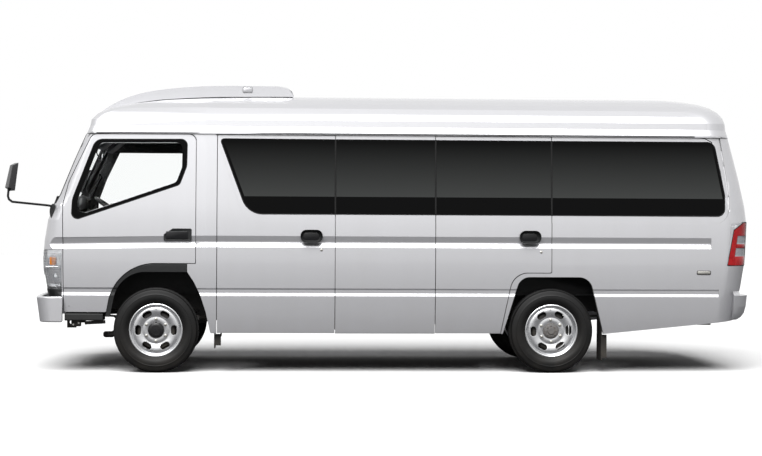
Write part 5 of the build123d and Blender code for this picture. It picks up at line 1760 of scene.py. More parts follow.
@dataclass(frozen=True)
class Nose:
    """What the nose carries: grille, air intake, fog lamps, blank plate, filler strip, cowl and wipers.

    Attributes:
        grille: Half width, foot and head of the grille.
        slats: Number of its bars.
        intake: Half width, foot and head of the intake in the bumper.
        fog: Distance from the middle, height and radius of a fog lamp.
        wipers: Place across of each wiper's pivot, and of its blade's two ends.
        bumper_lean: How far the bumper's face leans back to its foot, in degrees.
    """

    grille: tuple[float, float, float] = (0.500, 0.815, 0.965)
    slats: int = 4
    intake: tuple[float, float, float] = (0.420, 0.462, 0.535)
    fog: tuple[float, float, float] = (0.640, 0.520, 0.046)
    wipers: tuple[tuple[float, float, float], ...] = ((-0.060, -0.690, -0.110), (0.560, -0.020, 0.540))
    bumper_lean: float = 9.2

    def build(self) -> None:
        """Makes every fitting of the nose."""
        self.grille_bars()
        self.bumper()
        self.cowl()
        self.wiper_arms()

    def grille_bars(self) -> None:
        """The black grille with its bars, and the filler between lamps and bumper."""
        half, low, high = self.grille
        field = patch(
            "front_panel", "grille_field", (-3.2, -half, low), (-2.6, half, high), (-1.0, 0.0, 0.0), 0.004,
        )
        parts = [dress(field, TRIM)]
        for number in range(self.slats):
            z = low + (high - low) * (number + 0.5) / self.slats
            places = [(-3.4, half * 0.98 * (step / 8 - 1.0), z) for step in range(17)]
            line = along("front_panel", places, (1.0, 0.0, 0.0), 0.009)
            parts.append(dress(tube("grille_bar", line, 0.0085, 10), SATIN))
        for z in (low, high):
            places = [(-3.4, half * (step / 8 - 1.0), z) for step in range(17)]
            line = along("front_panel", places, (1.0, 0.0, 0.0), 0.005)
            parts.append(dress(tube("grille_frame", line, 0.011, 10), PAINT))
        for side in BOTH:
            places = [(-3.4, side * half, low + (high - low) * step / 4) for step in range(5)]
            line = along("front_panel", places, (1.0, 0.0, 0.0), 0.005)
            parts.append(dress(tube("grille_frame", line, 0.011, 10), PAINT))
        fitted(joined("grille", parts))
        filler = patch(
            "front_panel", "bumper_filler", (-3.2, -1.0, 0.642), (-2.708, 1.0, 0.702), (-0.8, 0.0, 0.0),
            0.004,
        )
        sides = [
            patch(
                "front_panel", "bumper_filler_end", (-3.2, min(0.0, side), 0.642),
                (-2.708, max(0.0, side), 0.702), (0.0, side, 0.0), 0.004,
            ) for side in BOTH
        ]
        fitted(joined("bumper_filler", [filler, *sides]), TRIM)

    def bumper(self) -> None:
        """The intake, the fog lamps and the blank plate in the bumper."""
        half, low, high = self.intake
        field = patch(
            "front_bumper", "intake_field", (-3.2, -half, low), (-2.8, half, high), (-1.0, 0.0, 0.0), 0.003,
        )
        parts = [dress(field, TRIM)]
        for number in range(2):
            z = low + (high - low) * (number + 1) / 3
            places = [(-3.4, half * 0.96 * (step / 6 - 1.0), z) for step in range(13)]
            line = along("front_bumper", places, (1.0, 0.0, 0.0), 0.006)
            parts.append(dress(tube("intake_bar", line, 0.006, 8), SATIN))
        away, height, radius = self.fog
        for side in BOTH:
            face = from_ahead("front_bumper", side * away, height)
            back = face + Vector((0.030, 0.0, 0.0))
            bezel = rod("fog_bezel", back, face - Vector((0.002, 0.0, 0.0)), radius + 0.012, 40)
            sunk(bezel, facing(-Axis.X.value), 0.012, 0.014)
            parts.append(dress(smooth(round_off(bezel, 0.002), 40.0), SATIN))
            bowl = rod(
                "fog_bowl", face + Vector((0.0095, 0.0, 0.0)), face + Vector((0.007, 0.0, 0.0)),
                radius * 0.95, 32,
            )
            parts.append(dress(bowl, REFLECTOR))
            lens = rod(
                "fog_lens", face + Vector((0.006, 0.0, 0.0)), face - Vector((0.002, 0.0, 0.0)),
                radius * 0.97, 40, radius * 0.8,
            )
            parts.append(dress(smooth(round_off(lens, 0.003), 40.0), LENS_CLEAR))
        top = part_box("front_bumper")[1].z
        face = from_ahead("front_bumper", 0.0, 0.585)
        board = blank_plate("front_plate", face.x - 0.008, -1.0, 0.585, (0.215, 0.050))
        for piece in (joined("front_bumper_fittings", parts), board):
            lean = math.radians(-self.bumper_lean)
            fitted(spun(piece, "Y", lean, (face.x, 0.0, top)))

    def cowl(self) -> None:
        """The black strip with its slots at the foot of the windscreen."""
        strip = patch(
            "front_panel", "screen_cowl", (-3.2, -0.735, 1.352), (-2.6, 0.735, 1.404), (-0.8, 0.0, 0.3),
            0.003,
        )
        fitted(strip, TRIM)

    def wiper_arms(self) -> None:
        """Two wipers at rest along the foot of the windscreen."""
        for number, (pivot_y, start_y, end_y) in enumerate(self.wipers, start=1):
            pivot = from_ahead("front_panel", pivot_y, 1.378)
            parts = [
                rod(
                    "wiper_pivot", pivot + Vector((0.010, 0.0, 0.0)), pivot - Vector((0.026, 0.0, 0.0)),
                    0.017, 24, 0.013,
                )
            ]
            rows = [
                (
                    start_y + (end_y - start_y) * step / 10, 1.452 + 0.030 * (step / 5 - 1.0) ** 2,
                ) for step in range(11)
            ]
            line = along("windscreen", [(-3.6, y, z) for y, z in rows], (1.0, 0.0, 0.0), 0.010)
            parts.append(tube("wiper_rubber", line, 0.0045, 8))
            spine = [place - Vector((0.009, 0.0, 0.0)) for place in line]
            parts.append(tube("wiper_spine", spine, 0.0048, 8))
            hold = spine[len(spine) // 2] - Vector((0.006, 0.0, 0.0))
            start = pivot - Vector((0.022, 0.0, 0.0))
            parts.append(
                tube(
                    "wiper_arm", [start, start.lerp(hold, 0.35) - Vector((0.014, 0.0, 0.0)), hold], 0.0065,
                    10,
                )
            )
            fitted(joined(f"front_wiper_{number}", parts), SATIN)


def blank_plate(name: str, x: float, way: float, z: float, half: tuple[float, float]) -> Piece:
    """A bare plate with two screws, square to the vehicle's length.

    Args:
        name: The piece's name.
        x: Where its outer face stands.
        way: -1 where it looks ahead, 1 where it looks back.
        z: Height of its middle.
        half: Half its width and half its height.

    Returns:
        The new piece.
    """
    wide, tall = half
    back = x - way * 0.007
    low, high = (min(x, back), -wide, z - tall), (max(x, back), wide, z + tall)
    board = slab(name, low, high, 0.012, Axis.X, 0.001)
    sunk(board, facing(Axis.X.value * way), 0.006, 0.0012)
    screws = []
    for side in BOTH:
        place = Vector((x - way * 0.002, side * wide * 0.72, z + tall * 0.55))
        screws.append(
            dress(rod("plate_screw", place, place + Vector((way * 0.004, 0.0, 0.0)), 0.006, 6), ZINC)
        )
    return joined(name, [dress(board, PALE), *screws])


@dataclass(frozen=True)
class TailFittings:
    """What the tail carries: handle, garnish, blank plate, wiper, high stop lamp, reflectors, hinges.

    Attributes:
        garnish: Half width, foot and head of the garnish.
        plate_z: Height of the blank plate's middle.
        stop_z: Height of the high stop lamp.
        hinge: Distance of a hinge cover from the middle, its foot and head.
        reflector: Distance of a reflector from the middle, its foot and head.
    """

    garnish: tuple[float, float, float] = (0.330, 1.165, 1.225)
    plate_z: float = 1.075
    stop_z: float = 2.105
    hinge: tuple[float, float, float] = (0.40, 2.052, 2.088)
    reflector: tuple[float, float, float] = (0.560, 0.607, 0.643)

    def build(self) -> None:
        """Makes every fitting of the tail."""
        self.gate()
        self.wiper()
        self.frame_fittings()

    def gate(self) -> None:
        """The garnish with its handle and plate lamps, and the blank plate."""
        half, low, high = self.garnish
        strip = patch(
            "tailgate", "tailgate_garnish", (2.8, -half, low), (3.4, half, high), (1.0, 0.0, 0.0), 0.010,
        )
        parts = [dress(round_off(strip, 0.003), SATIN)]
        middle = (low + high) / 2
        face = from_behind("tailgate", 0.0, middle)
        x = face.x + 0.010
        pad = slab(
            "gate_handle", (x - 0.004, -0.085, middle - 0.017), (x + 0.009, 0.085, middle + 0.017), 0.010,
            Axis.X, 0.003,
        )
        parts.append(dress(pad, TRIM))
        for side in BOTH:
            lamp = slab(
                "plate_lamp", (x - 0.012, side * 0.15 - 0.030, low - 0.012),
                (x + 0.012, side * 0.15 + 0.030, low + 0.002), 0.006, Axis.Z, 0.002,
            )
            parts.append(dress(lamp, LENS_WHITE))
        lock = rod("gate_lock", (x - 0.006, 0.120, middle), (x + 0.003, 0.120, middle), 0.011, 24)
        parts.append(dress(round_off(lock, 0.001), ZINC))
        finished(joined("tailgate_handle", parts), "tailgate", "black_plastic")
        face = from_behind("tailgate", 0.0, self.plate_z)
        board = blank_plate("rear_plate", face.x + 0.008, 1.0, self.plate_z, (0.215, 0.055))
        finished(board, "tailgate", "black_plastic")

    def wiper(self) -> None:
        """The wiper at rest along the foot of the tailgate's pane."""
        pivot = from_behind("tailgate", 0.0, 1.322)
        parts = [
            rod(
                "rear_pivot", pivot - Vector((0.006, 0.0, 0.0)), pivot + Vector((0.022, 0.0, 0.0)), 0.018,
                24, 0.013,
            )
        ]
        rows = [(4.0, -0.46 + 0.040 * step, 1.398 + 0.002 * step) for step in range(10)]
        line = along("tailgate_glass", rows, (-1.0, 0.0, 0.0), 0.009)
        parts.append(tube("rear_blade", line, 0.0045, 8))
        spine = [place + Vector((0.009, 0.0, 0.0)) for place in line]
        parts.append(tube("rear_spine", spine, 0.0045, 8))
        start = pivot + Vector((0.018, 0.0, 0.0))
        parts.append(tube("rear_arm", [start, start + Vector((0.004, -0.030, 0.030)), spine[4]], 0.006, 10))
        finished(joined("rear_wiper", parts), "tailgate", "black_plastic", SATIN)

    def frame_fittings(self) -> None:
        """The high stop lamp, the gate's hinge covers and the reflectors."""
        face = from_behind("rear_frame", 0.0, self.stop_z)
        x, z = face.x, self.stop_z
        base = slab(
            "stop_lamp_base", (x - 0.020, -0.150, z - 0.018), (x + 0.008, 0.150, z + 0.018), 0.012, Axis.X,
            0.002,
        )
        lens = slab(
            "stop_lamp_lens", (x - 0.010, -0.140, z - 0.011), (x + 0.014, 0.140, z + 0.011), 0.008, Axis.X,
            0.002,
        )
        finished(joined("high_stop_lamp", [dress(base, SATIN), dress(lens, LENS_RED)]), ROOT, "red_lens")
        covers, lenses = [], []
        away, foot, head = self.hinge
        for y in (-away, away):
            x = from_behind("rear_frame", y, 2.066).x
            low, high = (x - 0.015, y - 0.045, foot), (x + 0.010, y + 0.045, head)
            covers.append(slab("hinge_cover", low, high, 0.010, Axis.X, 0.003))
        fitted(joined("gate_hinge_covers", covers), SATIN)
        away, foot, head = self.reflector
        for y in (-away, away):
            x = from_behind("rear_bumper", y, 0.625).x
            low, high = (x - 0.020, y - 0.050, foot), (x + 0.005, y + 0.050, head)
            lenses.append(slab("bumper_reflector", low, high, 0.008, Axis.X, 0.002))
        finished(joined("rear_reflectors", lenses), ROOT, "red_lens", LENS_RED)
        badges = []
        for side in Side:
            node = f"{side.word}_side_panel"
            start, end = front(4.586), front(4.708)
            face = flank(node, (start + end) / 2, 0.860, side)
            for grow, proud, finish in ((0.0, 0.003, SATIN), (-0.005, 0.0045, ZINC)):
                y0, y1 = sorted((face - side.sign * 0.003, face + side.sign * proud))
                low, high = (start - grow, y0, 0.842 - grow), (end + grow, y1, 0.878 + grow)
                badges.append(dress(slab("bare_badge", low, high, 0.012, Axis.Y, 0.0006), finish))
        fitted(joined("bare_side_badges", badges))


# ---------------------------------------------------------------- running gear


@dataclass(frozen=True)
class RunningGear:
    """Frame, springs, axles, steering, driveline, exhaust and tank.

    Attributes:
        rail_y: Middle of a frame rail.
        leaves: Leaves in a spring.
        leaf: Thickness and width of a leaf.
        spring_half: Half the distance between a spring's eyes.
        eye_z: Height of the eyes.
        exhaust_line: Y and height of the exhaust's middle line.
        brake_y: Distance of a brake plate from the middle.
    """

    rail_y: float = 0.372
    leaves: int = 5
    leaf: tuple[float, float] = (0.0082, 0.060)
    spring_half: float = 0.600
    eye_z: float = 0.477
    exhaust_line: tuple[float, float] = (-0.290, 0.415)
    brake_y: float = 0.731

    def build(self) -> None:
        """Makes every piece of the running gear."""
        self.frame_rails()
        self.springs()
        self.axles()
        self.driveline()
        self.exhaust()
        self.tank()

    def frame_rails(self) -> None:
        """The ladder frame with its rivets."""
        finished(
            skin("chassis_frame", "chassis_ladder", 30.0), ROOT, "chassis_black", CHASSIS,
            stands_for=("chassis_frame",),
        )
        rivets = []
        outer = self.rail_y + 0.030
        for start in (front(-0.76), front(1.0), front(1.75), rear(-0.62), rear(0.64), rear(1.44)):
            for shift, z in ((-0.025, 0.535), (0.025, 0.535), (-0.025, 0.585), (0.025, 0.585)):
                for side in BOTH:
                    place = (start + shift, side * (outer - 0.002), z)
                    rivets.append(
                        rod("frame_rivet", place, (place[0], side * (outer + 0.005), z), 0.010, 12, 0.006)
                    )
        finished(joined("frame_rivets", rivets), ROOT, "chassis_black", CHASSIS)

    def springs(self) -> None:
        """Four leaf springs with their eyes, clips, plates and bolts."""
        packs = []
        for axle_x, crest, foot in ((FRONT_AXLE_X, 0.4445, 0.322), (REAR_AXLE_X, 0.4595, 0.290)):
            pack = self.spring(axle_x, crest, foot)
            packs += [pack, flipped(pack, pack.name)]
        finished(joined("leaf_spring_packs", packs), ROOT, "chassis_black", stands_for=("leaf_springs",))

    def spring(self, axle_x: float, crest: float, foot: float) -> Piece:
        """One left-hand spring: leaves that shorten downwards, bowed from eye to eye.

        Args:
            axle_x: Where the axle crosses it.
            crest: Top of the longest leaf over the axle.
            foot: Height of the plate under the axle.

        Returns:
            The spring with its fittings.
        """
        thick, wide = self.leaf
        y = -self.rail_y
        leaves, fittings = [], []

        def height(reach: float) -> float:
            """Top of the longest leaf at a distance from the axle."""
            return crest + (self.eye_z - crest) * (reach / self.spring_half) ** 2

        for number in range(self.leaves):
            half = self.spring_half * (1.0 - 0.175 * number)
            reaches = [half * (step / 5 - 1.0) for step in range(11)]
            drop = (number + 0.5) * thick
            line = [Vector((axle_x + reach, y, height(reach) - drop)) for reach in reaches]
            leaves += [flat_bar("spring_leaf", *ends, wide, thick * 0.9) for ends in zip(line, line[1:])]
        for end in BOTH:
            eye = Vector((axle_x + end * self.spring_half, y, self.eye_z))
            across = Vector((0.0, wide / 2, 0.0))
            fittings.append(rod("spring_eye", eye - across, eye + across, 0.0205, 32))
            fittings.append(rod("spring_pin", eye - across * 1.28, eye + across * 1.28, 0.0095, 6))
            clip_x, clip_z = axle_x + end * 0.33, height(0.33)
            low = (clip_x - 0.011, y - wide / 2 - 0.004, clip_z - 0.032)
            fittings.append(box("spring_clip", low, (clip_x + 0.011, y + wide / 2 + 0.004, clip_z + 0.004)))
            bolt_x = axle_x + end * 0.043
            sides = [y - wide / 2 - 0.007, y + wide / 2 + 0.007]
            bend = crest + 0.017
            loop = [(bolt_x, sides[0], foot - 0.022), (bolt_x, sides[0], bend), (bolt_x, sides[1], bend)]
            fittings.append(tube("spring_bolt", [*loop, (bolt_x, sides[1], foot - 0.022)], 0.0062, 10))
            fittings += [
                rod("bolt_nut", (bolt_x, at, foot - 0.012), (bolt_x, at, foot), 0.011, 6) for at in sides
            ]
        low, high = Vector((axle_x - 0.062, y - 0.046, 0.0)), Vector((axle_x + 0.062, y + 0.046, 0.0))
        for level, thickness in ((crest + 0.001, 0.010), (foot, 0.010)):
            ends = low + Vector((0.0, 0.0, level)), high + Vector((0.0, 0.0, level + thickness))
            fittings.append(round_off(box("spring_plate", *ends), 0.003))
        return joined(
            "leaf_spring",
            [dress(joined("leaves", leaves), CHASSIS), dress(joined("fittings", fittings), IRON)],
        )

    @staticmethod
    def back_plate(x: float, y: float, outline: Sequence[tuple[float, float]]) -> Piece:
        """A brake's back plate, turned round an axle's end."""
        return dress(smooth(lathe("brake_plate", (x, y, TYRE_RADIUS), outline)), CHASSIS)

    def axles(self) -> None:
        """Front beam, knuckles, tie rod, rear axle and stabiliser, with the brakes' back plates."""
        self.front_axle()
        self.tie_rod()
        self.rear_axle()
        self.stabiliser()

    def front_axle(self) -> None:
        """The beam, and the knuckles with their back plates."""
        finished(
            skin("front_axle_beam", "front_beam", 30.0), ROOT, "cast_iron", IRON,
            stands_for=("front_axle_beam",),
        )
        for side in Side:
            node = f"{side.word}_knuckle"
            shield = self.back_plate(
                FRONT_AXLE_X, side.sign * self.brake_y,
                [
                    (0.045, 0.003), (0.120, 0.003), (0.130, 0.0), (0.168, 0.0), (0.168, -0.003),
                    (0.045, -0.003), (0.045, 0.003),
                ],
            )
            parts = [dress(skin(node, f"{node}_casting", 30.0), IRON), shield]
            finished(joined(f"{node}_piece", parts), body_of(node), "cast_iron", stands_for=(node,))

    def tie_rod(self) -> None:
        """The tie rod with its clamps and boots."""
        eye_x, eye_y = FRONT_AXLE_X + 0.1505, 0.670
        boots, sleeves = [], []
        for side in BOTH:
            low, high = (eye_x, side * eye_y, 0.2795), (eye_x, side * eye_y, 0.2875)
            boots.append(dress(rod("ball_boot", low, high, 0.0165, 24, 0.012), RUBBER))
        for side in BOTH:
            start, end = (eye_x, side * 0.56, 0.268), (eye_x, side * 0.50, 0.268)
            sleeves.append(dress(rod("rod_clamp", start, end, 0.0145, 24), IRON))
        bar = dress(skin("tie_rod", "tie_bar", 30.0), CHASSIS)
        finished(
            joined("tie_rod_piece", [bar, *boots, *sleeves]), body_of("tie_rod"), "chassis_black",
            stands_for=("tie_rod",),
        )

    def rear_axle(self) -> None:
        """The casing with its bolted cover and back plates."""
        parts = [dress(skin("rear_axle", "rear_axle_casing", 30.0), IRON)]

        def behind(x: float, up: float = 0.0) -> Point:
            """A point behind the rear axle's line, and over it."""
            return (REAR_AXLE_X + x, 0.0, TYRE_RADIUS + up)

        cover = rod("axle_cover", behind(0.040), behind(0.140), 0.136, 48, 0.100)
        parts.append(dress(smooth(round_off(cover, 0.010, 3)), IRON))
        flange = rod("cover_flange", behind(0.030), behind(0.044), 0.152, 48)
        parts.append(dress(round_off(flange, 0.003), IRON))
        bolt = rod("cover_bolt", behind(0.043, 0.144), behind(0.053, 0.144), 0.0075, 6)
        parts += ring_of(dress(bolt, ZINC), 10, "X", behind(0.0))
        for side in BOTH:
            outline = [(0.056, 0.003), (0.168, 0.003), (0.168, -0.003), (0.056, -0.003), (0.056, 0.003)]
            parts.append(self.back_plate(REAR_AXLE_X, side * self.brake_y, outline))
        finished(joined("rear_axle_piece", parts), ROOT, "cast_iron", stands_for=("rear_axle",))

    def stabiliser(self) -> None:
        """The bent bar across the front, in rubber bushes."""
        bend = front(-0.415)
        points = [
            (front(-0.060), -0.560, 0.335), (bend, -0.600, 0.304), (bend, 0.600, 0.304),
            (front(-0.060), 0.560, 0.335),
        ]
        bushes = [dress(tube("stabiliser", points, 0.0125, 16), CHASSIS)]
        for side in BOTH:
            at = side * 0.560
            bush = slab(
                "stabiliser_bush", (bend - 0.055, at - 0.028, 0.278), (bend + 0.040, at + 0.028, 0.330),
                0.020, Axis.Y, 0.004,
            )
            hanger = rod(
                "stabiliser_link", (bend + 0.030, side * 0.372, 0.304), (bend + 0.060, side * 0.372, 0.515),
                0.0095, 12,
            )
            bushes += [dress(bush, RUBBER), dress(hanger, CHASSIS)]
        finished(joined("stabiliser_bar", bushes), ROOT, "chassis_black")

    def driveline(self) -> None:
        """Engine, gearbox and propeller shaft with its joints."""
        parts = []
        for low, high, edge, finish in (
            ((front(-0.250), -0.260, 0.470), (front(0.330), 0.260, 0.858), 0.018, IRON),
            ((front(-0.225), -0.225, 0.412), (front(0.240), 0.225, 0.480), 0.022, CHASSIS),
            ((front(-0.200), -0.235, 0.700), (front(0.290), -0.262 + 0.5, 0.862), 0.012, ZINC),
            ((front(0.430), -0.135, 0.400), (front(0.860), 0.135, 0.625), 0.030, IRON),
        ):
            parts.append(dress(smooth(round_off(box("engine_part", low, high), edge, 3)), finish))
        bell = rod("bell_housing", (front(0.300), 0.0, 0.555), (front(0.470), 0.0, 0.520), 0.205, 48, 0.130)
        parts.append(dress(smooth(round_off(bell, 0.006)), IRON))
        for step in range(5):
            x = front(0.50 + 0.075 * step)
            rib = box("gearbox_rib", (x - 0.005, -0.147, 0.405), (x + 0.005, 0.147, 0.610))
            parts.append(dress(round_off(rib, 0.002), IRON))
        for x, y in ((-0.18, -0.19), (-0.18, 0.19), (0.19, -0.19), (0.19, 0.19), (0.0, -0.19), (0.0, 0.19)):
            bolt = rod("pan_bolt", (front(x), y, 0.407), (front(x), y, 0.414), 0.009, 6)
            parts.append(dress(bolt, ZINC))
        drain = rod("drain_plug", (front(0.05), 0.0, 0.402), (front(0.05), 0.0, 0.414), 0.014, 6)
        finished(
            joined("engine_and_gearbox", [*parts, dress(drain, ZINC)]), ROOT, "cast_iron",
            stands_for=("engine_block",),
        )
        start, end = Vector((front(0.9025), 0.0, 0.480)), Vector((REAR_AXLE_X, 0.0, TYRE_RADIUS))
        way = (end - start).normalized()
        end = end - way * 0.142
        shaft = [dress(rod("shaft_tube", start + way * 0.10, end - way * 0.10, 0.0405, 40), CHASSIS)]
        for at, sense in ((start, 1.0), (end, -1.0)):
            inwards, arm = way * sense, Axis.Y.value * 0.041
            knuckle = at + inwards * 0.055
            flange = rod("shaft_flange", at, at + inwards * 0.014, 0.042, 32)
            yoke = rod("shaft_yoke", at + inwards * 0.012, at + inwards * 0.085, 0.030, 24, 0.040)
            cross = rod("shaft_cross", knuckle - arm, knuckle + arm, 0.013, 20)
            weld = rod("shaft_weld", at + inwards * 0.080, at + inwards * 0.104, 0.040, 32, 0.042)
            shaft += [dress(smooth(part), IRON) for part in (flange, yoke, cross, weld)]
        finished(
            joined("propeller_shaft_piece", shaft), ROOT, "chassis_black", stands_for=("propeller_shaft",),
        )

    def exhaust(self) -> None:
        """The exhaust pipe with its silencer, seams, clamps and open end."""
        y, z = self.exhaust_line
        parts = []

        def length(start: float, end: float, radius: float, edge: float = 0.0) -> Piece:
            """One round length of the exhaust."""
            piece = rod("exhaust_length", (start, y, z), (end, y, z), radius, 40)
            return dress(smooth(round_off(piece, edge, 3) if edge else piece), EXHAUST)

        parts += [
            length(front(0.920), front(1.500), 0.0265), length(front(1.495), front(2.155), 0.0840, 0.014),
        ]
        for place in (1.515, 1.740, 1.960, 2.135):
            parts.append(length(front(place) - 0.005, front(place) + 0.005, 0.0862, 0.002))
        for place, radius in ((0.930, 0.043), (1.480, 0.032), (2.170, 0.032)):
            parts.append(length(front(place) - 0.010, front(place) + 0.010, radius, 0.003))
        tail = rod("exhaust_tail", (front(2.150), y, z), (rear(-0.342), y, z), 0.0265, 40)
        pick(tail, facing(Axis.X.value, 0.9))
        with editing(tail):
            bpy.ops.mesh.inset(thickness=0.0025)
            bpy.ops.mesh.extrude_region_move(TRANSFORM_OT_translate={"value": (-0.120, 0.0, 0.0)})
        parts.append(dress(smooth(tail), EXHAUST))
        strap = slab(
            "silencer_strap", (front(1.735), y - 0.089, z - 0.089), (front(1.765), y + 0.089, z + 0.089),
            0.086, Axis.X, 0.001,
        )
        hook = box("silencer_hook", (front(1.720), y - 0.015, z + 0.080), (front(1.780), y + 0.015, 0.5597))
        parts += [dress(strap, CHASSIS), dress(round_off(hook, 0.003), CHASSIS)]
        finished(joined("exhaust_piece", parts), ROOT, "exhaust_steel", stands_for=("exhaust",))

    def tank(self) -> None:
        """The fuel tank with its straps, seam, filler and drain."""
        parts = [dress(skin("fuel_tank", "tank_body", 30.0), CHASSIS)]
        for place in (-0.28, 0.28):
            x = front(2.0 + place)
            strap = slab(
                "tank_strap", (x - 0.022, 0.4165, 0.3370), (x + 0.022, 0.8235, 0.6230), 0.042, Axis.X,
                0.001,
            )
            parts.append(dress(strap, ZINC))
        x = front(2.0)
        parts.append(
            dress(
                slab(
                    "tank_seam", (x - 0.004, 0.4150, 0.3355), (x + 0.004, 0.8250, 0.6240), 0.043, Axis.X,
                    0.001,
                ),
                CHASSIS,
            )
        )
        drain = rod("tank_drain", (x + 0.10, 0.62, 0.330), (x + 0.10, 0.62, 0.342), 0.018, 6)
        cap = rod("filler_cap", (x + 0.34, 0.815, 0.560), (x + 0.34, 0.845, 0.560), 0.034, 32)
        parts += [dress(drain, ZINC), dress(smooth(round_off(cap, 0.004)), SATIN)]
        finished(joined("fuel_tank_piece", parts), ROOT, "chassis_black", stands_for=("fuel_tank",))


@dataclass(frozen=True)
class Skirts:
    """Mud flaps, the black steps under the cab doors, and the brackets below them."""

    def build(self) -> None:
        """Dresses the flaps and the steps, and adds their small fittings."""
        flaps = [dress(skin("mud_flaps", "flap_sheets", 30.0), RUBBER)]
        for x in (front(0.488), rear(0.430)):
            for side in BOTH:
                y0, y1 = sorted((side * 0.645, side * 0.845))
                bar = box("flap_bar", (x - 0.004, y0, 0.585), (x + 0.0005, y1, 0.612))
                flaps.append(dress(round_off(bar, 0.001), ZINC))
                for step in range(3):
                    y = y0 + 0.030 + 0.070 * step
                    flaps.append(
                        dress(
                            rod("flap_bolt", (x - 0.010, y, 0.598), (x - 0.003, y, 0.598), 0.007, 6), ZINC,
                        )
                    )
        finished(joined("mud_flap_sheets", flaps), ROOT, "black_plastic", stands_for=("mud_flaps",))
        steps = [dress(skin("cab_steps", "step_boxes", 30.0), TRIM)]
        for side in BOTH:
            for number in range(5):
                y = side * (0.866 - 0.022 * number)
                rib = box(
                    "step_rib", (front(-0.735), y - 0.004, 0.5575), (front(-0.455), y + 0.004, 0.5615),
                )
                steps.append(dress(round_off(rib, 0.001, 1), TRIM))
            inner = side * 0.800
            bracket = slab(
                "step_bracket", (front(-0.715), inner - 0.012, 0.385),
                (front(-0.630), inner + 0.012, 0.440), 0.010, Axis.Y, 0.002,
            )
            steps.append(dress(bracket, CHASSIS))
            for x, z in ((-0.695, 0.402), (-0.650, 0.415)):
                place = (front(x), inner + side * 0.011, z)
                bolt = rod("bracket_bolt", place, (front(x), inner + side * 0.020, z), 0.008, 6)
                steps.append(dress(bolt, ZINC))
            low_x, high_x = front(-0.600), front(-0.430)
            brace = flat_bar(
                "step_brace", Vector((low_x, inner, 0.415)), Vector((high_x, inner, 0.424)), 0.030, 0.028,
            )
            steps.append(dress(brace, CHASSIS))
        finished(joined("cab_step_boxes", steps), ROOT, "black_plastic", stands_for=("cab_steps",))


# ---------------------------------------------------------------- padded seats


@dataclass(frozen=True)
class Pad:
    """A stuffed pad with sewn channels, made flat at the origin.

    Attributes:
        name: The pad's name.
        size: Depth, width and thickness.
        across: Places of the channels that run across the width.
        along: Places of the channels that run along the depth.
        swell: Most that the stuffing pushes a point out.
    """

    name: str
    size: Point
    across: tuple[float, ...] = ()
    along: tuple[float, ...] = ()
    swell: float = 0.020

    CHANNEL = 0.009
    VOXEL = 0.0065

    def build(self) -> Piece:
        """Shapes the pad, stuffs it and returns it."""
        depth, width, thick = (value / 2 for value in self.size)
        pad = box(self.name, (-depth, -width, -thick), (depth, width, thick))
        modify(pad, "BEVEL", width=thick * 0.55, segments=4, angle_limit=math.radians(40.0))
        modify(pad, "REMESH", mode="VOXEL", voxel_size=self.VOXEL)
        self.stuff(pad)
        modify(pad, "DECIMATE", ratio=0.5)
        take(pad)
        bpy.ops.object.shade_smooth()
        return pad

    def near_channel(self, place: Vector) -> bool:
        """Tells whether a point lies on a sewn channel of the pad's upper side."""
        if place.z < 0.0:
            return False
        lines = [
            abs(place.x - value) for value in self.across
        ] + [abs(place.y - value) for value in self.along]
        return min(lines, default=1.0) < self.CHANNEL / 2

    def stuff(self, pad: Piece) -> None:
        """Swells the pad by a cloth simulation, held at its channels and its foot."""
        mesh = pad.data
        held = pad.vertex_groups.new(name="held")
        foot = -self.size[2] / 2 + 0.004
        held.add(
            [v.index for v in mesh.vertices if self.near_channel(v.co) or v.co.z < foot], 1.0, "REPLACE",
        )
        rest = [v.co.copy() for v in mesh.vertices]
        take(pad)
        cloth = pad.modifiers.new("cloth", "CLOTH")
        cloth.settings.use_pressure = True
        cloth.settings.uniform_pressure_force = 4.0
        cloth.settings.vertex_group_mass = "held"
        cloth.settings.effector_weights.gravity = 0.0
        cloth.settings.quality = 4
        for number in range(1, 21):
            bpy.context.scene.frame_set(number)
        bpy.ops.object.modifier_apply(modifier=cloth.name)
        for point, start in zip(pad.data.vertices, rest):
            push = point.co - start
            if push.length > self.swell:
                point.co = start + push.normalized() * self.swell
            if self.near_channel(start):
                point.co.z -= 0.004
        bpy.context.scene.frame_set(1)


@dataclass(frozen=True)
class SeatPlace:
    """Where one seat stands.

    Attributes:
        name: The seat's name.
        place: Middle of the cushion's foot line, at the floor.
        rise: Height of the cushion's top over the floor.
        belted: Whether it is a cab seat with a belt and a headrest on posts.
    """

    name: str
    place: Point
    rise: float = 0.42
    belted: bool = False


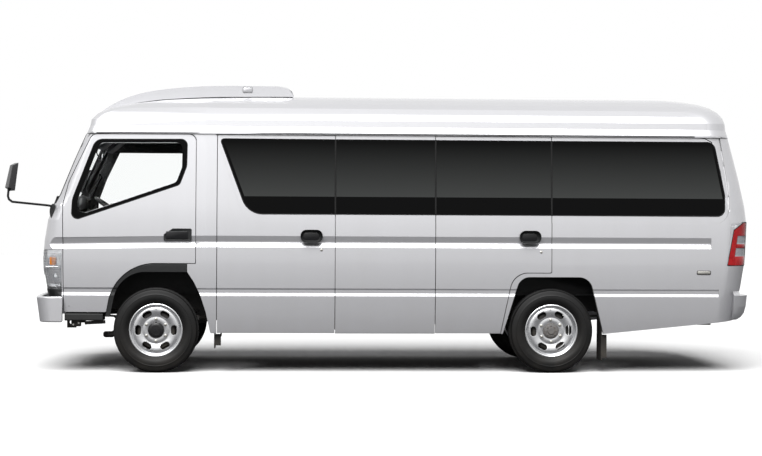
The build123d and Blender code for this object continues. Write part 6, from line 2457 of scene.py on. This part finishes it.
@dataclass(frozen=True)
class Seats:
    """Every seat, from one cushion, one back and one headrest that are copied.

    Attributes:
        cushion: The cushion's pad.
        back: The back's pad.
        rest: The headrest's pad.
        lean: Angle of the backs.
        pitch: Distance between the saloon's rows.
    """

    cushion: Pad = Pad("seat_cushion", (0.440, 0.440, 0.115), (-0.075, 0.060), (-0.140, 0.140))
    back: Pad = Pad("seat_back", (0.500, 0.430, 0.075), (-0.080, 0.050, 0.170), (-0.140, 0.140), 0.018)
    rest: Pad = Pad("seat_headrest", (0.120, 0.250, 0.070), (), (), 0.016)
    lean: float = 10.0
    pitch: float = 0.760

    def places(self) -> list[SeatPlace]:
        """Every seat of the vehicle."""
        box_top, floor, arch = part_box("cab_floor")[1].z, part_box("floor")[1].z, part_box("wheel_housings")[1].z
        made = [SeatPlace(f"cab_seat_{side.word}", (front(0.0), side.value * 0.43, box_top), 0.185, True)
                for side in Side]
        for row in range(4):
            base = arch if row == 3 else floor
            for number, y in enumerate((0.405, 0.675)):
                made.append(
                    SeatPlace(
                        f"row_{row + 1}_right_{number + 1}", (front(1.15 + self.pitch * row), y, base),
                        1.110 - base,
                    )
                )
        for number, y in enumerate((-0.405, -0.675)):
            made.append(SeatPlace(f"row_2_left_{number + 1}", (front(1.90), y, floor)))
        for number in range(4):
            made.append(SeatPlace(f"rear_bench_{number + 1}", (rear(1.15), -0.555 + 0.37 * number, floor)))
        return made

    def build(self) -> None:
        """Makes the pads once and every seat from them."""
        pads = [pad.build() for pad in (self.cushion, self.back, self.rest)]
        for place in self.places():
            self.seat(place, pads)
        for pad in pads:
            bpy.data.objects.remove(pad)
        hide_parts("cab_seats")
        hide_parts("saloon_seats")

    def seat(self, place: SeatPlace, pads: Sequence[Piece]) -> None:
        """One seat: three pads, the shell behind them and the pedestal."""
        x, y, z = place.place
        narrow = 1.0 if place.belted else (0.60 if "row" in place.name else 0.80)
        top = z + place.rise
        lean = math.radians(self.lean)
        along = Vector((math.sin(lean), 0.0, math.cos(lean)))
        foot = Vector((x + 0.165, y, top - 0.015))
        for pad, label, centre, turn, fill in (
            (pads[0], "cushion", Vector((x - 0.020, y, top - 0.062)), math.radians(3.0), 0.75),
            (pads[1], "back", foot + along * 0.265 + Vector((0.045, 0.0, 0.0)), lean - math.pi / 2, 0.75),
            (
                pads[2], "headrest", foot + along * 0.585 + Vector((0.040, 0.0, 0.0)), lean - math.pi / 2,
                0.85,
            ),
        ):
            take(pad)
            bpy.ops.object.duplicate()
            piece = bpy.context.object
            piece.rotation_euler = (0.0, turn, 0.0)
            piece.scale = (1.0, narrow, 1.0)
            piece.location = centre
            piece = named(f"{place.name}_{label}")
            finished(piece, ROOT, "seat_cloth", CLOTH)
        half = 0.205 * narrow
        shell = slab(
            f"{place.name}_shell", (-0.012, y - half, 0.0), (0.012, y + half, 0.56), 0.05, Axis.X, 0.006,
        )
        placed(shell, foot + Vector((0.095, 0.0, 0.0)) - Vector((0.0, y, 0.0)), (0.0, lean, 0.0))
        pan = slab(
            f"{place.name}_pan", (x - 0.22, y - half, top - 0.145), (x + 0.20, y + half, top - 0.115), 0.04,
            Axis.Z, 0.006,
        )
        parts = [shell, pan]
        if place.rise > 0.17:
            low = (x - 0.17, y - half * 0.8, z + 0.0005)
            parts.append(
                slab(
                    f"{place.name}_pedestal", low, (x + 0.12, y + half * 0.8, top - 0.13), 0.03, Axis.Z,
                    0.004,
                )
            )
        for sign in BOTH:
            start = foot + along * 0.50 + Vector((0.045, sign * 0.06 * narrow, 0.0))
            parts.append(rod(f"{place.name}_post", start, start + along * 0.06, 0.006, 12))
        for part in parts:
            dress(part, VINYL)
        fitted(smooth(joined(f"{place.name}_frame", parts), 40.0))


# ---------------------------------------------------------------- cab


@dataclass(frozen=True)
class Cab:
    """What fills the cab: dash, instruments, wheel, levers, pedals, linings, visors and grab handles.

    Attributes:
        driver_y: Middle of the driver's place.
        pillar_foot: Foot of the screen pillar's inner side.
        pillar_head: Its head.
        wheel_hub: Hub of the steering wheel, from the front axle, and its height.
        wheel_tilt: How far the steering wheel leans, in degrees.
    """

    driver_y: float = 0.430
    pillar_foot: Point = (-0.800, 0.800, 1.385)
    pillar_head: Point = (-0.520, 0.745, 1.955)
    wheel_hub: tuple[float, float] = (-0.480, 1.360)
    wheel_tilt: float = 35.0

    # Y from the driver's place and radius of a dial; Y of a vent and of a knob; Y and width of a pedal
    DIALS = ((-0.085, 0.042), (0.020, 0.050), (0.110, 0.030))
    VENTS = (-0.62, -0.12, 0.06, 0.68)
    KNOBS = (-0.055, 0.03, 0.115)
    PEDALS = ((0.30, 0.06), (0.42, 0.06), (0.54, 0.045))

    def build(self) -> None:
        """Makes every piece of the cab."""
        self.dash()
        self.wheel()
        self.controls()
        self.linings()
        self.upper()
        for side in Side:
            self.door_card(side)

    def dash(self) -> None:
        """The dash with its instrument hood, dials, vents, shelf and lid."""
        dash = dress(skin("dashboard", "dash_moulding", 30.0), DASH)
        finished(dash, ROOT, "black_plastic", stands_for=("dashboard",))
        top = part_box("dashboard")[1].z
        y = self.driver_y
        hood = slab(
            "instrument_hood", (front(-0.82), y - 0.20, 1.335), (front(-0.685), y + 0.20, 1.505), 0.080,
            Axis.X, 0.010,
        )
        sunk(hood, facing(Axis.X.value), 0.014, 0.05)
        fitted(smooth(hood, 35.0), DASH)
        dials = []
        for shift, radius in self.DIALS:
            dial = lathe(
                "dial", ORIGIN,
                [
                    (0.0, 0.0), (radius, 0.0), (radius, 0.006), (radius + 0.004, 0.006),
                    (radius + 0.005, -0.004),
                ],
                40,
            )
            placed(dial, (front(-0.730), y + shift, 1.415), (0.0, 0.0, -math.pi / 2))
            needle = box(
                "needle", (front(-0.729), y + shift - 0.002, 1.415),
                (front(-0.727), y + shift + 0.002, 1.415 + radius * 0.8),
            )
            dials += [dress(dial, DIAL), dress(needle, LENS_RED)]
        fitted(joined("instrument_dials", dials))
        vents = []
        for place in self.VENTS:
            low, high = (front(-0.655), place - 0.055, 1.235), (front(-0.610), place + 0.055, 1.295)
            vent = slab("air_vent", low, high, 0.012, Axis.X, 0.002)
            vents.append(sunk(vent, facing(Axis.X.value), 0.006, 0.02))
            for level in (1.250, 1.265, 1.280):
                slat = box(
                    "vent_slat", (front(-0.628), place - 0.05, level - 0.001),
                    (front(-0.613), place + 0.05, level + 0.001),
                )
                vents.append(round_off(slat, 0.0006, 1))
        fitted(smooth(joined("air_vents", vents), 35.0), SATIN)
        stack = [
            slab(
                "radio_panel", (front(-0.66), -0.10, 1.120), (front(-0.602), 0.16, 1.222), 0.012, Axis.X,
                0.003,
            )
        ]
        for place in self.KNOBS:
            knob = lathe("knob", ORIGIN, [(0.0, 0.016), (0.012, 0.015), (0.014, 0.002), (0.016, 0.0)], 28)
            stack.append(placed(knob, (front(-0.603), place, 1.150), (0.0, 0.0, -math.pi / 2)))
        fitted(smooth(joined("centre_controls", stack), 35.0), SATIN)
        lid = slab(
            "glove_box_lid", (front(-0.655), -0.66, 1.125), (front(-0.598), -0.22, 1.222), 0.02, Axis.X,
            0.004,
        )
        fitted(lid, DASH)
        mat = slab(
            "dash_top_mat", (front(-0.90), -0.70, top - 0.006), (front(-0.79), 0.22, top + 0.003), 0.03,
            Axis.Z, 0.003,
        )
        fitted(mat, TRIM)

    def wheel(self) -> None:
        """The steering wheel with its pad, and the stalks beside it."""
        rim = dress(skin("steering_wheel", "steering_wheel_rim", 40.0), SATIN)
        finished(rim, "steering_wheel", "black_plastic", stands_for=("steering_wheel",))
        tilt = math.radians(self.wheel_tilt)
        axis = Vector((math.sin(tilt), 0.0, math.cos(tilt)))
        hub = Vector((front(self.wheel_hub[0]), self.driver_y, self.wheel_hub[1]))
        pad = slab("horn_pad", (-0.060, -0.085, 0.018), (0.070, 0.085, 0.040), 0.035, Axis.Z, 0.008)
        finished(placed(pad, hub, (0.0, tilt, 0.0)), "steering_wheel", "black_plastic", DASH)
        cover = slab("column_cover", (-0.060, -0.055, -0.22), (0.060, 0.055, -0.045), 0.025, Axis.Z, 0.006)
        parts = [placed(cover, hub, (0.0, tilt, 0.0))]
        for sign in BOTH:
            root = hub - axis * 0.075
            tip = root + Vector((-0.01, sign * 0.165, 0.012))
            parts.append(tube("stalk", [root, root + Vector((0.0, sign * 0.10, 0.0)), tip], 0.007, 12))
            parts.append(
                rod(
                    "stalk_end", tip - Vector((0.0, sign * 0.035, 0.003)),
                    tip + Vector((0.0, sign * 0.004, 0.0)), 0.0105, 16, 0.009,
                )
            )
        fitted(smooth(joined("column_cover", parts), 40.0), SATIN)

    def controls(self) -> None:
        """Gear lever, parking brake and pedals, with the cab floor's mat."""
        finished(
            skin("cab_floor", "cab_floor_covering", 30.0), ROOT, "floor_covering", MAT,
            stands_for=("cab_floor",),
        )
        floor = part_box("floor")[1].z
        boot = lathe(
            "gear_boot", ORIGIN,
            [
                (0.0, 0.10), (0.016, 0.10), (0.020, 0.085), (0.028, 0.08), (0.030, 0.062), (0.042, 0.055),
                (0.044, 0.035), (0.060, 0.028), (0.064, 0.0),
            ],
            40,
        )
        placed(boot, (front(-0.52), 0.06, floor), (math.pi / 2, 0.0, 0.0))
        lever = tube(
            "gear_lever",
            [
                (front(-0.52), 0.06, floor + 0.08), (front(-0.50), 0.07, floor + 0.34),
                (front(-0.455), 0.085, floor + 0.52),
            ],
            0.008, 14,
        )
        knob = lathe(
            "gear_knob", ORIGIN,
            [(0.0, 0.030), (0.014, 0.028), (0.023, 0.016), (0.025, 0.0), (0.018, -0.020), (0.011, -0.032)],
            32,
        )
        placed(knob, (front(-0.450), 0.087, floor + 0.535), (math.pi / 2, 0.0, 0.0))
        brake = tube(
            "parking_brake", [(front(-0.47), 0.17, floor + 0.20), (front(-0.33), 0.17, floor + 0.30)],
            0.013, 16,
        )
        post = slab(
            "parking_brake_base", (front(-0.52), 0.14, floor + 0.0005), (front(-0.45), 0.20, floor + 0.22),
            0.015, Axis.Y, 0.003,
        )
        parts = [
            dress(boot, RUBBER), dress(lever, ZINC), dress(smooth(knob, 50.0), SATIN), dress(brake, SATIN),
            dress(post, TRIM),
        ]
        fitted(joined("floor_levers", parts))
        pedals = []
        for place, width in self.PEDALS:
            face = slab(
                "pedal", (-0.006, place - width / 2, -0.045), (0.006, place + width / 2, 0.045), 0.008,
                Axis.X, 0.002,
            )
            placed(face, (front(-0.66), 0.0, floor + 0.13), (0.0, math.radians(-35.0), 0.0))
            pedals.append(dress(face, RUBBER))
            arm = tube(
                "pedal_arm",
                [
                    (front(-0.668), place, floor + 0.135), (front(-0.74), place, floor + 0.26),
                    (front(-0.74), place, floor + 0.40),
                ],
                0.006, 10,
            )
            pedals.append(dress(arm, CHASSIS))
        finished(joined("pedals", pedals), ROOT, "chassis_black")

    def linings(self) -> None:
        """Dark linings on the screen pillars and over the doors."""
        for side in Side:
            sign, name = side.sign, side.word
            foot, head = self.pillar_foot, self.pillar_head
            start = Vector((front(foot[0]), sign * foot[1], foot[2]))
            end = Vector((front(head[0]), sign * head[1], head[2]))
            run = (end - start).length
            near, far = (-0.060, 0.004) if side is Side.LEFT else (-0.014, 0.082)
            trim = slab(
                f"pillar_lining_{name}", (near, -0.012, 0.0), (far, 0.012, run), 0.010, Axis.Z, 0.003,
            )
            forward = Vector((1.0, 0.0, 0.0))
            up = (end - start).normalized()
            out = up.cross(forward).normalized()
            forward = out.cross(up)
            trim.matrix_world = Matrix.Translation(start) @ Matrix((forward, out, up)).transposed().to_4x4()
            fitted(settle(trim), DASH)
            low_z = 1.905 if side is Side.RIGHT else 1.940
            ys = sorted((sign * 0.700, sign * 0.748))
            header = slab(
                f"header_lining_{name}", (front(-0.500), ys[0], low_z), (front(0.330), ys[1], 2.040), 0.018,
                Axis.X, 0.004,
            )
            fitted(header, DASH)
            rail = [
                Vector((front(-0.735), sign * 0.775, 1.470)), Vector((front(-0.715), sign * 0.735, 1.490)),
                Vector((front(-0.625), sign * 0.715, 1.680)), Vector((front(-0.640), sign * 0.755, 1.700)),
            ]
            grab = tube(f"grab_handle_{name}", rail, 0.0115, 16)
            # the near (left) handle is painted pale as a painted highlight; the far (right) one keeps the black
            # plastic
            finished(grab, ROOT, "black_plastic", PALE if side is Side.LEFT else SATIN)
        lining = slab(
            "cab_head_lining", (front(-0.50), -0.70, 2.000), (front(0.36), 0.70, 2.030), 0.04, Axis.Z,
            0.008,
        )
        fitted(lining, DASH)

    def upper(self) -> None:
        """Sun visors, and the inside mirror on its hooked stem."""
        for side in Side:
            y = side.value * 0.40
            visor = slab(
                f"sun_visor_{side.word}", (-0.012, y - 0.22, -0.085), (0.012, y + 0.22, 0.070), 0.022,
                Axis.X, 0.006,
            )
            placed(visor, (front(-0.455), 0.0, 1.950), (0.0, math.radians(52.0), 0.0))
            fitted(visor, VINYL)
        x, z = front(-0.600), 1.905
        stem = tube(
            "inside_mirror_stem",
            [
                (x + 0.035, 0.0, z + 0.045), (x + 0.008, 0.0, z - 0.020), (x + 0.018, 0.0, z - 0.050),
                (x + 0.045, 0.0, z - 0.058),
            ],
            0.005, 12,
        )
        head = slab(
            "inside_mirror_head", (-0.010, -0.105, -0.030), (0.010, 0.105, 0.030), 0.020, Axis.X, 0.005,
        )
        placed(head, (x + 0.052, 0.0, z - 0.062), (0.0, math.radians(12.0), 0.0))
        dress(head, SATIN, MIRROR)
        give(head, 1, lambda centre, normal: normal.x > 0.9)
        fitted(joined("inside_mirror", [dress(stem, SATIN), head]))

    def door_card(self, side: Side) -> None:
        """A cab door's inner card with its armrest, winder, pocket and pull."""
        name, sign = side.word, side.sign
        door = f"cab_door_{name}"
        inner = touch(door, (front(-0.20), 0.0, 1.05), (0.0, sign, 0.0))
        y = inner.y if inner else sign * 0.84

        def between(near: float, far: float) -> tuple[float, float]:
            """Y limits measured inwards from the door's inner face."""
            return tuple(sorted((y - sign * near, y - sign * far)))

        parts = []
        for low, high, radius, reach, finish in (
            ((-0.66, 0.955), (0.24, 1.225), 0.03, 0.010, VINYL),
            ((-0.52, 1.085), (0.12, 1.130), 0.02, 0.055, DASH),
            ((-0.62, 0.955), (-0.10, 1.040), 0.02, 0.030, DASH),
        ):
            ys = between(-0.002, reach)
            panel = slab(
                f"{door}_card", (front(low[0]), ys[0], low[1]), (front(high[0]), ys[1], high[1]), radius,
                Axis.Y, 0.004,
            )
            parts.append(dress(panel, finish))
        ys = between(0.008, 0.020)
        hub = slab(
            "winder_boss", (front(-0.10) - 0.022, ys[0], 1.168), (front(-0.10) + 0.022, ys[1], 1.212),
            0.021, Axis.Y, 0.002,
        )
        parts.append(dress(hub, SATIN))
        tip = (front(-0.01), y - sign * 0.030, 1.165)
        parts.append(
            dress(tube("winder_arm", [(front(-0.10), y - sign * 0.024, 1.190), tip], 0.006, 12), SATIN)
        )
        parts.append(
            dress(rod("winder_knob", tip, (tip[0], tip[1] - sign * 0.032, tip[2]), 0.011, 20, 0.009), SATIN)
        )
        finished(joined(f"{door}_card", parts), door, "black_plastic")


@dataclass(frozen=True)
class Saloon:
    """The saloon's floor, grab rails, ceiling duct and step nosings."""

    def build(self) -> None:
        """Makes what the passengers hold and stand on."""
        finished(
            skin("floor", "saloon_floor_covering", 30.0), ROOT, "floor_covering", MAT,
            stands_for=("floor",),
        )
        finished(
            skin("wheel_housings", "wheel_housing_covers", 30.0), ROOT, "black_plastic", TRIM,
            stands_for=("wheel_housings",),
        )
        rails = []
        for y in (-0.27, 0.27):
            rails.append(
                tube(
                    "ceiling_rail",
                    [
                        (front(0.75), y, 2.07), (front(0.80), y, 2.02), (rear(1.05), y, 2.02),
                        (rear(1.10), y, 2.07),
                    ],
                    0.0145, 16,
                )
            )
            for number in range(5):
                x = front(1.20 + 0.78 * number)
                rails.append(rod("rail_hanger", (x, y, 2.02), (x, y, 2.12), 0.008, 12))
        finished(joined("ceiling_rails", rails), ROOT, "wheel_chrome", ZINC)
        duct = slab(
            "ceiling_duct", (front(0.55), -0.17, 2.12), (rear(1.05), 0.17, 2.20), 0.03, Axis.X, 0.006,
        )
        vents = [dress(duct, PALE)]
        for number in range(10):
            x = front(0.85 + 0.40 * number)
            vent = slab("duct_vent", (x - 0.05, -0.12, 2.113), (x + 0.05, 0.12, 2.125), 0.02, Axis.Z, 0.003)
            vents.append(dress(vent, SATIN))
        fitted(joined("ceiling_duct", vents))
        edges = []
        for start, end in ((front(0.60), front(1.415)), (rear(-0.906), rear(-0.48))):
            edge = slab(
                "step_nosing", (start, -0.5320, 0.6905), (end, -0.4950, 0.6945), 0.004, Axis.Z, 0.0015,
            )
            edges.append(dress(edge, ZINC))
        finished(joined("step_nosings", edges), ROOT, "wheel_chrome")


# ---------------------------------------------------------------- stage and camera


@dataclass(frozen=True)
class Lamp:
    """A soft square studio lamp.

    Attributes:
        name: The lamp's name.
        place: Where it hangs.
        aim: The point that it looks at.
        size: Its width and height.
        power: Its power in watts.
    """

    name: str
    place: Point
    aim: Point
    size: tuple[float, float]
    power: float

    def build(self) -> None:
        """Hangs the lamp."""
        deselect()
        bpy.ops.object.light_add(type="AREA", location=self.place)
        lamp = bpy.context.object
        lamp.name = self.name
        lamp.data.shape = "RECTANGLE"
        lamp.data.size, lamp.data.size_y = self.size
        lamp.data.energy = self.power
        lamp.rotation_euler = (Vector(self.aim) - Vector(self.place)).to_track_quat("-Z", "Y").to_euler()


@dataclass(frozen=True)
class Stage:
    """A white studio: floor, even world and soft lamps.

    Attributes:
        world: Strength of the even light.
        sky: Strength of the wide lamp overhead.
        sky_lean: How far it leans to the left flank and to the nose, in degrees.
        lamps: The lamps.
    """

    world: float = 0.12
    sky: float = 4.8
    sky_lean: tuple[float, float] = (40.0, -10.0)
    lamps: tuple[Lamp, ...] = (
        Lamp("side_lamp", (-2.0, -13.0, 7.0), (0.0, 0.0, 1.4), (14.0, 5.0), 60.0),
    )

    def build(self) -> None:
        """Lays the floor, lights the world and hangs the lamps."""
        deselect()
        bpy.ops.mesh.primitive_grid_add(x_subdivisions=8, y_subdivisions=8, size=90.0)
        ground = named("studio_floor")
        ground.data.materials.append(self.ground())
        bpy.ops.object.light_add(type="SUN", location=(0.0, 0.0, 9.0))
        sky = bpy.context.object
        sky.name = "sky_lamp"
        sky.data.energy, sky.data.angle = self.sky, math.radians(48.0)
        sky.rotation_euler = (math.radians(self.sky_lean[0]), math.radians(self.sky_lean[1]), 0.0)
        world = bpy.data.worlds.new("studio")
        bpy.context.scene.world = world
        world.use_nodes = True
        tree = world.node_tree
        tree.nodes.clear()
        rays = put(tree, "ShaderNodeLightPath").outputs
        shown = math_node(tree, "MAXIMUM", rays["Is Camera Ray"], rays["Is Transmission Ray"])
        shown = math_node(tree, "MAXIMUM", shown, rays["Is Glossy Ray"])
        dim = put(tree, "ShaderNodeBackground", {"Color": (1.0, 1.0, 1.0, 1.0), "Strength": self.world})
        white = put(tree, "ShaderNodeBackground", {"Color": (1.0, 1.0, 1.0, 1.0), "Strength": 1.0})
        mix = put(tree, "ShaderNodeMixShader", {0: shown, 1: dim.outputs[0], 2: white.outputs[0]})
        put(tree, "ShaderNodeOutputWorld", {"Surface": mix.outputs[0]})
        for lamp in self.lamps:
            lamp.build()
        scene = bpy.context.scene
        scene.view_settings.view_transform = "Standard"
        scene.view_settings.look = "None"

    @staticmethod
    def ground() -> bpy.types.Material:
        """A pale floor that looks white, but throws little light back up."""
        made = bpy.data.materials.new("studio_floor")
        made.use_nodes = True
        tree = made.node_tree
        tree.nodes.clear()
        grain = EFFECTS.place(tree, Effect.SPECKLE, Scale=30.0)
        pale = blend_colours(tree, grain, (0.96, 0.96, 0.96), (0.94, 0.94, 0.94))
        seen = put(tree, "ShaderNodeBsdfDiffuse", {"Color": pale})
        dull = put(tree, "ShaderNodeBsdfDiffuse", {"Color": (0.16, 0.16, 0.165, 1.0)})
        rays = put(tree, "ShaderNodeLightPath").outputs
        mix = put(
            tree, "ShaderNodeMixShader", {0: rays["Is Camera Ray"], 1: dull.outputs[0], 2: seen.outputs[0]},
        )
        put(tree, "ShaderNodeOutputMaterial", {"Surface": mix.outputs[0]})
        return made


@dataclass(frozen=True)
class Viewpoint:
    """The camera, level with the belt line and square to the left flank.

    Attributes:
        place: Where it stands.
        yaw: Degrees that it is turned to the tail.
        pitch: Degrees that it looks up.
        roll: Degrees that it leans.
        focal: Focal length as a share of the picture's width.
    """

    place: Point = (front(1.0686), -15.96, 1.2964)
    yaw: float = 3.128
    pitch: float = -0.26
    roll: float = 0.3
    focal: float = 1784.07 / 762.0

    def build(self) -> None:
        """Sets the scene's camera."""
        yaw, pitch, roll = (math.radians(angle) for angle in (self.yaw, self.pitch, self.roll))
        ahead = Vector((math.sin(yaw) * math.cos(pitch), math.cos(yaw) * math.cos(pitch), math.sin(pitch)))
        right = Vector((math.cos(yaw), -math.sin(yaw), 0.0))
        up = right.cross(ahead)
        across = right * math.cos(roll) + up * math.sin(roll)
        upward = up * math.cos(roll) - right * math.sin(roll)
        deselect()
        bpy.ops.object.camera_add(location=self.place)
        camera = bpy.context.object
        camera.name = "side_camera"
        turn = Matrix((across, upward, -ahead)).transposed().to_4x4()
        camera.matrix_world = Matrix.Translation(self.place) @ turn
        camera.data.angle = 2.0 * math.atan(0.5 / self.focal)
        bpy.context.scene.camera = camera


# ---------------------------------------------------------------- the whole vehicle


@dataclass
class Minibus:
    """Every sub-assembly of the vehicle, in the order that they are built."""

    assemblies: list[object] = field(default_factory=list)

    def build(self) -> None:
        """Builds and dresses each sub-assembly."""
        for assembly in self.assemblies:
            LOG.info("building %s", type(assembly).__name__)
            assembly.build()


def main() -> None:
    """Builds the vehicle in its studio."""
    logging.basicConfig(level=logging.INFO, format="%(name)s %(message)s")
    handles = [
        PullHandle(
            "cab_door_left", (front(0.065), front(0.299)), (1.111, 1.216), 0.012, (front(0.285), 1.150),
            0.075,
        ),
        PullHandle(
            "cab_door_right", (front(0.065), front(0.299)), (1.111, 1.216), 0.012, (front(0.285), 1.150),
            0.075,
        ),
        PullHandle(
            "front_passenger_door", (front(1.212), front(1.398)), (1.102, 1.211), 0.050,
            (front(1.389), 1.040),
        ),
        PullHandle(
            "rear_passenger_door", (front(3.066), front(3.247)), (1.102, 1.211), 0.050,
            (front(3.252), 1.029),
        ),
    ]
    outside = [
        Bodywork(), Glazing(), *handles, Headlamps(), TailLamps(), KERB_MIRROR, DRIVER_MIRROR, DripRail(),
        RoadWheel(),
    ]
    fittings = [RoofUnit(), Nose(), TailFittings(), RunningGear(), Skirts()]
    Minibus([*outside, *fittings, Cab(), Seats(), Saloon()]).build()
    Stage().build()
    Viewpoint().build()


if __name__ == "__main__":
    main()
